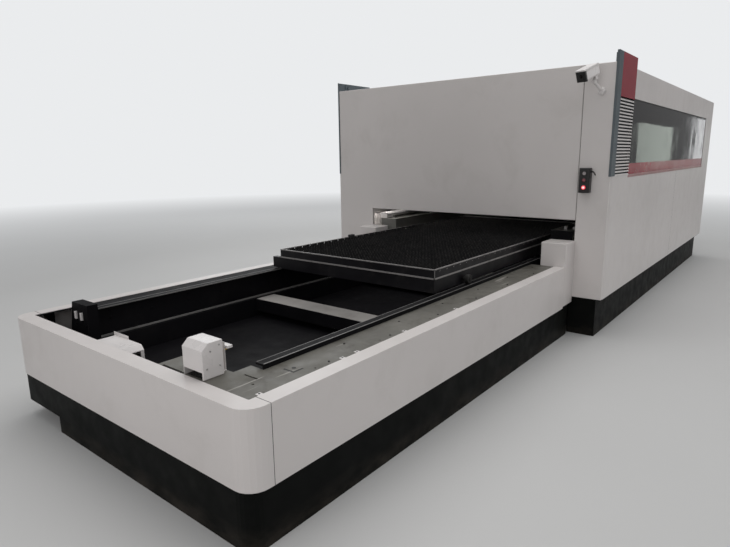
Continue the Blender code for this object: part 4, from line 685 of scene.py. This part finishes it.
def make_tower_details():
    """Two guide tongues in the slots of the rail's end tower, and its bolts."""
    lo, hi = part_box("rail_end_tower")
    bm = bmesh.new()
    for reach in (0.035, 0.110):
        x = LANE_X - RAIL_HALF - reach
        block(bm, (x - 0.011, lo[1] - 0.010, 0.615), (x + 0.011, lo[1] + 0.018, 0.665))
    finish_piece("tower_tongues", bm, "machine", WHITE_CLEAN, 0.003)
    bm = bmesh.new()
    for x in (lo[0] + 0.10, hi[0] - 0.03):
        for z in (0.52, 0.58):
            screw(bm, (x, lo[1], z), IN_Y)
    finish_piece("tower_bolts", bm, "machine", BLACK_INSIDE, smooth=True)


def make_seams():
    """Dark joint lines between the sheet covers, standing just proud of them."""
    seam = Y_NEAR + 0.13
    side_seam = 2.05
    half = 0.0012
    proud = 0.0003
    bm = bmesh.new()
    for sign in (-1, 1):
        x = LANE_X + sign * COVER_HALF
        a, b = sorted((x + sign * proud, x - sign * 0.002))
        block(bm, (a, seam - half, 0.292), (b, seam + 0.0016, TABLE_TOP - 0.0005))
        a, b = sorted((x - sign * 0.001, x - sign * 0.092))
        block(bm, (a, seam - half, TABLE_TOP - 0.0015), (b, seam + 0.0016, TABLE_TOP + proud))
    block(bm, (X_WALL - 0.003, side_seam - half, 0.358), (X_WALL + proud, side_seam + half, 1.40))
    finish_piece("cover_joints", bm, "machine", RUBBER)
    bm = bmesh.new()
    x = LANE_X + COVER_HALF - 0.010
    block(bm, (x - half, Y_JOIN - proud, 1.046), (x + 0.0010, Y_JOIN + 0.004, ROOF_Z - 0.004))
    finish_piece("front_joint", bm, "machine", GREY)


make_rails()
make_deck_details()
make_stop_details()
make_motor_details()
make_tower_details()
make_seams()


# Enclosure

def make_window_details():
    """The gasket at the window's top and far end, and the pale sill under the strip."""
    (_, y0, _), (_, y1, _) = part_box("window_glass")
    x0, x1 = X_WALL - 0.010, X_WALL - 0.0005
    width = 0.011
    inset = 0.001
    bm = bmesh.new()
    block(bm, (x0, y0 + 0.002, WINDOW_HIGH - width), (x1, y1 - inset, WINDOW_HIGH - inset))
    block(bm, (x0, y1 - width, WINDOW_LOW + inset), (x1, y1 - inset, WINDOW_HIGH - width))
    finish_piece("window_gasket", bm, "machine", RUBBER, 0.002)
    bm = bmesh.new()
    sill_top, sill_foot = WINDOW_LOW - 0.0015, 1.400
    drawn(bm, [(X_WALL - 0.001, sill_top), (X_WALL - 0.001, sill_foot), (X_WALL + 0.0012, sill_foot),
               (X_WALL + 0.0034, sill_foot + 0.004), (X_WALL + 0.0034, sill_top)],
          "XZ", y0 - 0.01, y1 + 0.004)
    finish_piece("window_sill", bm, "machine", SILL, 0.0006)


def make_left_header():
    """The raised panel over the left wall, the plain match of the red one."""
    foot = ROOF_Z + 0.0003
    back = -X_WALL + 0.012
    bm = bmesh.new()
    block(bm, (-X_WALL - 0.0035, -0.6295, foot), (back, -0.18, 2.4295))
    for y in (-0.60, -0.25):
        block(bm, (back, y, foot), (-X_WALL + 0.030, y + 0.04, ROOF_Z + 0.06))
    finish_piece("left_header_panel", bm, "machine", TRIM, 0.002)


def make_camera_details():
    """Bezel, lens, lamps, gland and shield in the camera's own frame, and its base's screws."""
    pivot = Vector((1.349, -0.845, 2.215))
    aim = (Matrix.Translation(pivot) @ Matrix.Rotation(math.radians(-18), 4, "Z")
           @ Matrix.Rotation(math.radians(22), 4, "X"))
    front = 0.026 - 0.185
    glass = front - 0.004
    half = 0.043
    top = 0.022 + 2 * half
    middle = 0.022 + half

    def placed(bm):
        bmesh.ops.transform(bm, matrix=aim, verts=bm.verts)
        return bm

    bm = bmesh.new()
    block(bm, (-half - 0.0015, front - 0.0045, 0.0205), (half + 0.0015, front + 0.0100, top - 0.0005))
    lathe(bm, (0, glass, middle), IN_Y, [(0.024, 0.0), (0.024, 0.004), (0.019, 0.004), (0.017, 0.002)], 32)
    for c, s in circle(10):
        lathe(bm, (0.030 * c, glass, middle + 0.030 * s), IN_Y,
              [(0.0032, 0.0), (0.0032, 0.0012), (0.0020, 0.0022)], 12)
    finish_piece("camera_bezel", placed(bm), "camera", PLASTIC, 0.002)
    bm = bmesh.new()
    dome = [(0.0165, 0.0), (0.0165, 0.001), (0.012, 0.0036), (0.005, 0.0048)]
    lathe(bm, (0, glass, middle), IN_Y, dome, 32)
    finish_piece("camera_lens", placed(bm), "camera", LENS, smooth=True)
    bm = bmesh.new()
    lathe(bm, (0.0, 0.0265, middle - 0.012), OUT_Y,
          [(0.010, 0.0), (0.010, 0.006), (0.0075, 0.008), (0.0075, 0.014)], 12)
    for x in (-0.02, 0.02):
        lathe(bm, (x, 0.0258, middle + 0.02), OUT_Y, [(0.003, 0), (0.003, 0.0014), (0.002, 0.002)], 12)
    finish_piece("camera_gland", placed(bm), "camera", RUBBER, smooth=True)
    bm = bmesh.new()
    block(bm, (-half - 0.0025, front - 0.010, top + 0.0042), (half + 0.0025, 0.012, top + 0.0056))
    finish_piece("camera_shield_lip", placed(bm), "camera", WHITE_CLEAN, 0.0006)
    bm = bmesh.new()
    for c, s in circle(3, math.radians(90)):
        lathe(bm, (1.384 + 0.024 * c, Y_JOIN - 0.0103, 2.120 + 0.024 * s), IN_Y,
              [(0.0035, -0.001), (0.0035, 0.0045), (0.0024, 0.0055)], 12)
    finish_piece("camera_base_screws", bm, "machine", STEEL, smooth=True)


def make_box_details():
    """Collars round the buttons, lid screws and a cable gland with its conduit."""
    lo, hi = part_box("button_box")
    face = lo[1]
    x = (lo[0] + hi[0]) / 2
    bm = bmesh.new()
    for z, radius in BUTTONS.values():
        r = radius + 0.001
        profile = [(r, 0.0), (r, 0.0045), (r + 0.0015, 0.006), (r + 0.0045, 0.0045), (r + 0.0055, 0.0)]
        loops = [[bm.verts.new((x + ring * c, face - 0.0001 - reach, z + ring * s)) for c, s in circle(28)]
                 for ring, reach in profile]
        join_rings(bm, loops + loops[:1], caps=False)
    finish_piece("button_collars", bm, "machine", PLASTIC, smooth=True)
    bm = bmesh.new()
    for sx in (lo[0] + 0.010, hi[0] - 0.010):
        for sz in (lo[2] + 0.010, hi[2] - 0.010):
            lathe(bm, (sx, face, sz), IN_Y, [(0.0035, -HAIR), (0.0035, 0.0012), (0.0022, 0.002)], 14)
    finish_piece("box_screws", bm, "machine", WHEEL, smooth=True)
    bm = bmesh.new()
    gland = [(0.009, -0.001), (0.009, 0.008), (0.007, 0.010), (0.007, 0.012)]
    lathe(bm, (hi[0], face + 0.030, hi[2] - 0.030), OUT_X, gland, 16)
    path = [(hi[0] + 0.011, face + 0.030, hi[2] - 0.030), (hi[0] + 0.020, face + 0.031, hi[2] - 0.033),
            (hi[0] + 0.026, face + 0.042, hi[2] - 0.050), (hi[0] + 0.027, Y_JOIN + 0.002, hi[2] - 0.060)]
    sweep(bm, smooth_path(path, 6), 0.0045, 12)
    finish_piece("box_conduit", bm, "machine", RUBBER, smooth=True)


def make_opening_details():
    """Rounded guard, riser pipes, the rail's end box and a work light in the left end of the opening."""
    x, y, radius, wall, lip = -1.165, -0.50, 0.080, 0.003, 0.10
    bends = [math.radians(180 + 180 * i / 16) for i in range(17)]
    outer = [(x + radius * math.cos(a), y + radius * math.sin(a)) for a in bends]
    inside = radius - wall
    inner = [(x + inside * math.cos(a), y + inside * math.sin(a)) for a in reversed(bends)]
    outline = [(x - radius, y + lip), *outer, (x + radius, y + lip), (x + inside, y + lip), *inner,
               (x - inside, y + lip)]
    bm = bmesh.new()
    drawn(bm, outline, "XY", 0.0, 0.965)
    finish_piece("hose_guard", bm, "machine", WHITE, 0.001)

    bm = bmesh.new()
    for i, (x, y, radius) in enumerate(((-1.062, -0.46, 0.014), (-1.034, -0.45, 0.010))):
        path = [(x, y, 0.02), (x, y, 0.60), (x, y + 0.01, 0.90), (x - 0.03, y + 0.10, 0.98 + 0.02 * i),
                (x - 0.08, y + 0.40, 1.00), (x - 0.12, y + 0.9, 0.94)]
        sweep(bm, smooth_path(path, 6), radius, 12)
    for z in (0.35, 0.70):
        block(bm, (-1.085, -0.478, z), (-1.020, -0.432, z + 0.02))
    finish_piece("riser_pipes", bm, "machine", RUBBER, smooth=True)

    x0, x1, low = -1.000, -0.905, 0.9303
    shoulder, top = low + 0.045, low + 0.062
    bm = bmesh.new()
    drawn(bm, [(x0, low), (x1, low), (x1, shoulder), (x1 - 0.020, top), (x0 + 0.020, top), (x0, shoulder)],
          "XZ", -0.630, -0.200)
    finish_piece("rail_end_box", bm, "machine", WHITE_CLEAN, 0.003)
    bm = bmesh.new()
    block(bm, (-1.40, -0.6900, 1.62), (-1.36, -0.6600, 2.02))
    finish_piece("work_light", bm, "machine", ALUMINIUM, 0.004)


def make_roof_details():
    """Sheet joints, duct collars, lifting eyes and a cable tray on the roof."""
    skin = ROOF_Z + HAIR
    fold = ROOF_Z + 0.0035
    ducts = ((-0.85, 2.55), (-0.85, 3.70))
    bm = bmesh.new()
    for y in (0.55, 1.85, 3.15):
        ridge = ROOF_Z + 0.014
        drawn(bm, [(y - 0.030, skin), (y + 0.030, skin), (y + 0.026, fold), (y + 0.010, fold),
                   (y + 0.008, ridge), (y - 0.008, ridge), (y - 0.010, fold), (y - 0.026, fold)],
              "YZ", -1.455, 1.455)
    finish_piece("roof_joints", bm, "machine", WHITE, 0.0008)

    profile = [(0.135, 0.0), (0.135, 0.004), (0.104, 0.006), (0.100, 0.060), (0.104, 0.063), (0.104, 0.070),
               (0.098, 0.072), (0.094, 0.070), (0.096, 0.004), (0.020, 0.002)]
    bm = bmesh.new()
    for x, y in ducts:
        join_rings(bm, [[bm.verts.new((x + ring * c, y + ring * s, skin + z)) for c, s in circle(48)]
                        for ring, z in profile])
    finish_piece("duct_collars", bm, "machine", ALUMINIUM, smooth=True)
    bm = bmesh.new()
    for x, y in ducts:
        for c, s in circle(12, math.pi / 12):
            screw(bm, (x + 0.122 * c, y + 0.122 * s, ROOF_Z + 0.0042), UP, 0.0045)
    for x in (-1.38, 1.34):
        for y in (0.10, 4.25):
            lathe(bm, (x, y, ROOF_Z), UP, [(0.030, HAIR), (0.030, 0.006), (0.018, 0.010), (0.014, 0.020)], 24)
            turns = [math.radians(-90 + 360 * i / 20) for i in range(21)]
            eye = [(x, y + 0.024 * math.cos(a), ROOF_Z + 0.043 + 0.024 * math.sin(a)) for a in turns]
            sweep(bm, eye, 0.007)
    finish_piece("roof_fixings", bm, "machine", STEEL, smooth=True)

    sheet = 0.003
    x0, x1, flange = 0.55, 0.80, 0.012
    floor, under, top = ROOF_Z + sheet, ROOF_Z + 0.055, ROOF_Z + 0.058
    bm = bmesh.new()
    drawn(bm, [(x0, skin), (x1, skin), (x1, under), (x1 + flange, under), (x1 + flange, top),
               (x1 - sheet, top), (x1 - sheet, floor), (x0 + sheet, floor), (x0 + sheet, top),
               (x0 - flange, top), (x0 - flange, under), (x0, under)], "XZ", 0.60, 4.30)
    finish_piece("cable_tray", bm, "machine", ALUMINIUM, 0.0006)
    lines = ((0.60, 0.012), (0.635, 0.009), (0.672, 0.014), (0.715, 0.010), (0.752, 0.008))
    bm = bmesh.new()
    for i, (x, r) in enumerate(lines):
        path = [(x + 0.006 * math.sin(k * 0.7 + i), 0.66 + k * 0.18,
                 fold + r + 0.0015 * math.sin(k * 1.3 + i) + 0.0015) for k in range(20)]
        sweep(bm, smooth_path(path, 3), r)
    finish_piece("tray_lines", bm, "machine", RUBBER, smooth=True)


def make_rear():
    """Rear wall in three sheets, with vents and a gland plate, inside the space of its node."""
    (left, back, low), (right, face, high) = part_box("rear_panel")
    sheets = [(left, -0.492), (-0.488, 0.488), (0.492, right)]
    holes = [(-1.22, -0.74, 0.62, 0.98), (-0.30, 0.30, 1.50, 1.80), (0.74, 1.22, 0.62, 0.98)]
    bm = bmesh.new()
    block(bm, (left, back, low), (right, face - 0.016, high))
    for (a, b), (hx0, hx1, hz0, hz1) in zip(sheets, holes):
        for x0, x1, z0, z1 in ((a, hx0, low, high), (hx1, b, low, high),
                               (hx0, hx1, low, hz0), (hx0, hx1, hz1, high)):
            block(bm, (x0, face - 0.0165, z0), (x1, face, z1))
    bmesh.ops.remove_doubles(bm, verts=bm.verts, dist=0.00001)
    wall = finish_piece("rear_wall", bm, "machine", WHITE)
    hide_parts("rear_panel")

    vents = 15
    bm = bmesh.new()
    for x0, x1, z0, z1 in (holes[0], holes[2]):
        pitch = (z1 - z0 - 0.02) / vents
        for i in range(vents):
            z = z0 + 0.012 + i * pitch
            drawn(bm, [(face - 0.0162, z), (face - 0.0162, z + 0.002), (face - 0.002, z + pitch * 0.62),
                       (face - 0.001, z + pitch * 0.62 - 0.002)], "YZ", x0 + 0.001, x1 - 0.001)
    finish_piece("rear_vents", bm, "machine", WHITE)

    x0, x1, z0, z1 = holes[1]
    bm = bmesh.new()
    block(bm, (x0 + 0.004, face - 0.0158, z0 + 0.004), (x1 - 0.004, face - 0.011, z1 - 0.004))
    finish_piece("gland_plate", bm, "machine", ALUMINIUM, 0.001)
    bm = bmesh.new()
    for i in range(6):
        for j in range(2):
            place = (x0 + 0.08 + i * 0.088, face - 0.0112, z0 + 0.09 + j * 0.12)
            lathe(bm, place, OUT_Y, [(0.019, 0.0), (0.019, 0.006), (0.016, 0.007)], 6)
            lathe(bm, place, OUT_Y, [(0.013, 0.0065), (0.013, 0.0098), (0.010, 0.0106)], 18)
    finish_piece("cable_glands", bm, "machine", RUBBER, smooth=True)
    bm = bmesh.new()
    for a, b in sheets:
        for x in (a + 0.030, b - 0.030):
            for i in range(8):
                z = low + 0.06 + i * (high - low - 0.12) / 7
                lathe(bm, (x, face - 0.0022, z), OUT_Y, [(0.007, 0.0), (0.007, 0.0023), (0.0035, 0.0012)], 16)
    finish_piece("rear_screws", bm, "machine", WHEEL, smooth=True)


def make_left_side():
    """Latches in the door pockets and screws along the left wall, all within the trims' reach."""
    for body, hinge in DOORS.items():
        y = hinge + DOOR_WIDTH - 0.075
        bm = bmesh.new()
        block(bm, (-X_WALL + 0.002, y - 0.021, 1.215), (-X_WALL + 0.0176, y - 0.006, 1.335))
        lathe(bm, (-X_WALL + 0.017, y + 0.010, 1.275), IN_X, [(0.010, 0), (0.010, 0.008), (0.008, 0.010)], 20)
        finish_piece(body + "_latch", bm, body, PLASTIC, 0.002)
        bm = bmesh.new()
        for dy in (0.05, DOOR_WIDTH - 0.05):
            for z in (0.54, 2.01):
                wall_screw(bm, hinge + dy, z)
        finish_piece(body + "_screws", bm, body, STEEL, smooth=True)
    bm = bmesh.new()
    for y in (-0.25, 0.30, 1.95, 2.25, 3.90, 4.30):
        for i in range(5):
            wall_screw(bm, y, 0.42 + i * 0.455)
    finish_piece("side_screws_left", bm, "machine", STEEL, smooth=True)


make_window_details()
make_left_header()
make_camera_details()
make_box_details()
make_opening_details()
make_roof_details()
make_rear()
make_left_side()


# Inside the enclosure

LINK, LINK_BODY = 0.045, 0.041      # pitch and length of a cable chain's link


def make_inside():
    """Gear racks beside the guides, cable chains, and bolts on the beam."""
    bm = bmesh.new()
    for sign in (-1, 1):
        x = LANE_X + sign * (GUIDE_HALF + 0.20 - 0.035)
        drawn(bm, [(x - 0.012, BED_TOP), (x + 0.012, BED_TOP), (x + 0.012, 0.950), (x + 0.008, 0.955),
                   (x - 0.012, 0.955)], "XZ", -0.50, 4.20)
    finish_piece("gear_racks", bm, "machine", STEEL, 0.001)
    bm = bmesh.new()
    x = LANE_X + GUIDE_HALF + 0.205
    for k in range(60):
        y = -0.45 + k * LINK
        block(bm, (x, y, 0.80), (x + 0.055, y + LINK_BODY, 0.835))
    finish_piece("cable_chain_run", bm, "machine", PLASTIC, 0.003)
    bm = bmesh.new()
    for k in range(32):
        x = LANE_X - 0.80 + k * LINK
        block(bm, (x, 2.29, 1.2805), (x + LINK_BODY, 2.37, 1.318))
    finish_piece("beam_cable_chain", bm, "gantry", PLASTIC, 0.003)
    lo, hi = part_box("gantry_beam")
    bm = bmesh.new()
    for x in (lo[0] + 0.25, (lo[0] + hi[0]) / 2, hi[0] - 0.25):
        for z in (1.08, 1.22):
            screw(bm, (x, 2.2695, z), IN_Y, 0.004)
    finish_piece("beam_bolts", bm, "gantry", STEEL, smooth=True)


def make_head_details():
    """Rings, fittings and lines on the cutting head, and bolts on its carriage."""
    lo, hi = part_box("cutting_head")
    x, y = (lo[0] + hi[0]) / 2, (lo[1] + hi[1]) / 2
    port = y - 0.008
    bm = bmesh.new()
    for z, r in ((1.145, 0.0345), (1.195, 0.0345), (1.250, 0.0345), (1.045, 0.0305)):
        band = [(r + 0.0004, 0.0), (r + 0.003, 0.002), (r + 0.003, 0.010), (r + 0.0004, 0.012)]
        lathe(bm, (x, y, z), UP, band, 36)
    finish_piece("head_rings", bm, "head", PLASTIC, smooth=True)
    bm = bmesh.new()
    fitting = [(0.007, 0), (0.007, 0.012), (0.005, 0.014), (0.005, 0.020)]
    lathe(bm, (x + 0.028, port, 1.170), OUT_X, fitting, 12)
    lathe(bm, (x - 0.028, port, 1.220), IN_X, fitting, 12)
    finish_piece("head_fittings", bm, "head", BRASS, smooth=True)
    bm = bmesh.new()
    hose_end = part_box("head_slide")[0][1] + 0.008
    hose = [(x + 0.046, port, 1.170), (x + 0.062, y - 0.010, 1.185), (x + 0.060, y + 0.010, 1.23),
            (x + 0.050, hose_end, 1.245)]
    fibre = [(x, y, hi[2] - 0.002), (x, y + 0.004, hi[2] + 0.05), (x + 0.002, y + 0.03, hi[2] + 0.09)]
    sweep(bm, smooth_path(hose), 0.004)
    sweep(bm, smooth_path(fibre), 0.008, 12)
    finish_piece("head_lines", bm, "head", RUBBER, smooth=True)

    lo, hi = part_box("cross_carriage")
    carriage_face = 2.2302
    bm = bmesh.new()
    for x in (lo[0] + 0.018, hi[0] - 0.018):
        for z in (lo[2] + 0.02, lo[2] + 0.10, hi[2] - 0.16):
            screw(bm, (x, carriage_face, z), IN_Y, 0.004)
    finish_piece("carriage_bolts", bm, "carriage", STEEL, smooth=True)


make_inside()
make_head_details()


# Camera, floor and lights

SENSOR = 36
PHOTO_WIDTH, FOCAL_PIXELS = 730, 555.3
BACKDROP, BACKDROP_LEVEL = (0.97, 0.985, 1.0), 0.85


def make_camera():
    data = bpy.data.cameras.new("camera")
    data.sensor_width = SENSOR
    data.lens = SENSOR * FOCAL_PIXELS / PHOTO_WIDTH
    obj = bpy.data.objects.new("camera", data)
    bpy.context.scene.collection.objects.link(obj)
    turn = Matrix.Rotation(math.radians(38.854), 4, "Z") @ Matrix.Rotation(math.radians(90 - 11.924), 4, "X")
    obj.matrix_world = (Matrix.Translation((2.846, -5.703, 1.62)) @ turn
                        @ Matrix.Rotation(math.radians(-0.775), 4, "Z"))
    bpy.context.scene.camera = obj


def make_floor():
    """A wide floor that fades into the backdrop where the camera sees it far off."""
    mesh = bpy.data.meshes.new("floor")
    mesh.from_pydata([(-60, -60, 0), (60, -60, 0), (60, 60, 0), (-60, 60, 0)], [], [(0, 1, 2, 3)])
    floor = bpy.data.objects.new("floor", mesh)
    bpy.context.scene.collection.objects.link(floor)
    s = Shader("studio_floor")
    s.link(s.mix(s.noise(0.6, 3.0), (0.56, 0.56, 0.555), (0.60, 0.60, 0.595)), s.bsdf.inputs["Base Color"])
    s.bsdf.inputs["Roughness"].default_value = 0.6
    s.bsdf.inputs["Specular IOR Level"].default_value = 0.2
    reach = s.node("ShaderNodeVectorMath", operation="LENGTH")
    s.link(s.place, reach.inputs[0])
    far = s.ramp(reach.outputs["Value"], 6.0, 20.0)
    glow = s.node("ShaderNodeEmission")
    glow.inputs["Color"].default_value = (*tint(BACKDROP, BACKDROP_LEVEL), 1.0)
    blend = s.node("ShaderNodeMixShader")
    s.link(s.product(far, s.node("ShaderNodeLightPath").outputs["Is Camera Ray"]), blend.inputs[0])
    s.link(s.bsdf.outputs[0], blend.inputs[1])
    s.link(glow.outputs[0], blend.inputs[2])
    s.link(blend.outputs[0], s.tree.nodes["Material Output"].inputs["Surface"])
    mesh.materials.append(s.mat)


def make_world():
    """Dim round the horizon and brighter overhead; the camera sees an even pale backdrop."""
    world = bpy.data.worlds.new("studio")
    bpy.context.scene.world = world
    world.use_nodes = True
    tree = world.node_tree
    new, link = tree.nodes.new, tree.links.new
    background = tree.nodes["Background"]
    background.inputs["Color"].default_value = (*BACKDROP, 1.0)
    axes = new("ShaderNodeSeparateXYZ")
    link(new("ShaderNodeTexCoord").outputs["Generated"], axes.inputs[0])
    sky = new("ShaderNodeMapRange")
    for key, value in (("From Min", 0.0), ("From Max", 0.7), ("To Min", 0.19), ("To Max", 0.42)):
        sky.inputs[key].default_value = value
    link(axes.outputs[2], sky.inputs["Value"])
    path = new("ShaderNodeLightPath")
    seen = new("ShaderNodeMath")
    seen.operation = "MAXIMUM"
    link(path.outputs["Is Camera Ray"], seen.inputs[0])
    link(path.outputs["Is Transmission Ray"], seen.inputs[1])
    strength = new("ShaderNodeMix")
    strength.inputs["B"].default_value = BACKDROP_LEVEL
    link(seen.outputs[0], strength.inputs["Factor"])
    link(sky.outputs["Result"], strength.inputs["A"])
    link(strength.outputs["Result"], background.inputs["Strength"])


def area_light(name, place, target, size, power, color):
    data = bpy.data.lights.new(name, "AREA")
    data.shape = "RECTANGLE"
    data.size, data.size_y = size
    data.energy = power
    data.color = color
    obj = bpy.data.objects.new(name, data)
    bpy.context.scene.collection.objects.link(obj)
    obj.location = place
    obj.rotation_euler = (Vector(target) - Vector(place)).to_track_quat("-Z", "Y").to_euler()


make_camera()
make_floor()
make_world()
for row in (
        ("overhead", (0.0, 0.4, 7.0), (0.0, 0.4, 0.0), (9.0, 11.2), 370, (1.0, 0.99, 0.98)),
        ("near_window", (1.6, -9.0, 2.6), (0.3, -3.8, 0.4), (5.0, 2.4), 80, (1.0, 0.975, 0.97)),
        ("side_window", (11.0, 3.0, 4.5), (1.5, 0.5, 1.2), (8.0, 4.0), 168, (1.0, 0.985, 0.99)),
        ("far_window", (-9.0, 6.0, 5.0), (0.0, 0.0, 0.8), (8.0, 4.0), 150, (0.97, 0.99, 1.0)),
        ("strip_window", (4.0, 13.0, 1.75), (-4.0, 13.0, 1.75), (4.4, 1.3), 15, (0.90, 1.0, 0.90)),
        ("end_window", (4.0, 20.9, 1.95), (-4.0, 20.9, 1.95), (2.3, 1.9), 16, (0.98, 0.99, 1.0)),
        ("end_window_edge", (4.0, 18.9, 1.95), (-4.0, 18.9, 1.95), (0.5, 1.9), 4.0, (0.98, 0.99, 1.0)),
        ("inside_work_light", (-1.10, -0.655, 1.30), (-1.10, -0.60, 0.85), (0.30, 0.05), 3.0,
         (1.0, 0.98, 0.95))):
    area_light(*row)

bpy.context.scene.view_settings.view_transform = "Standard"
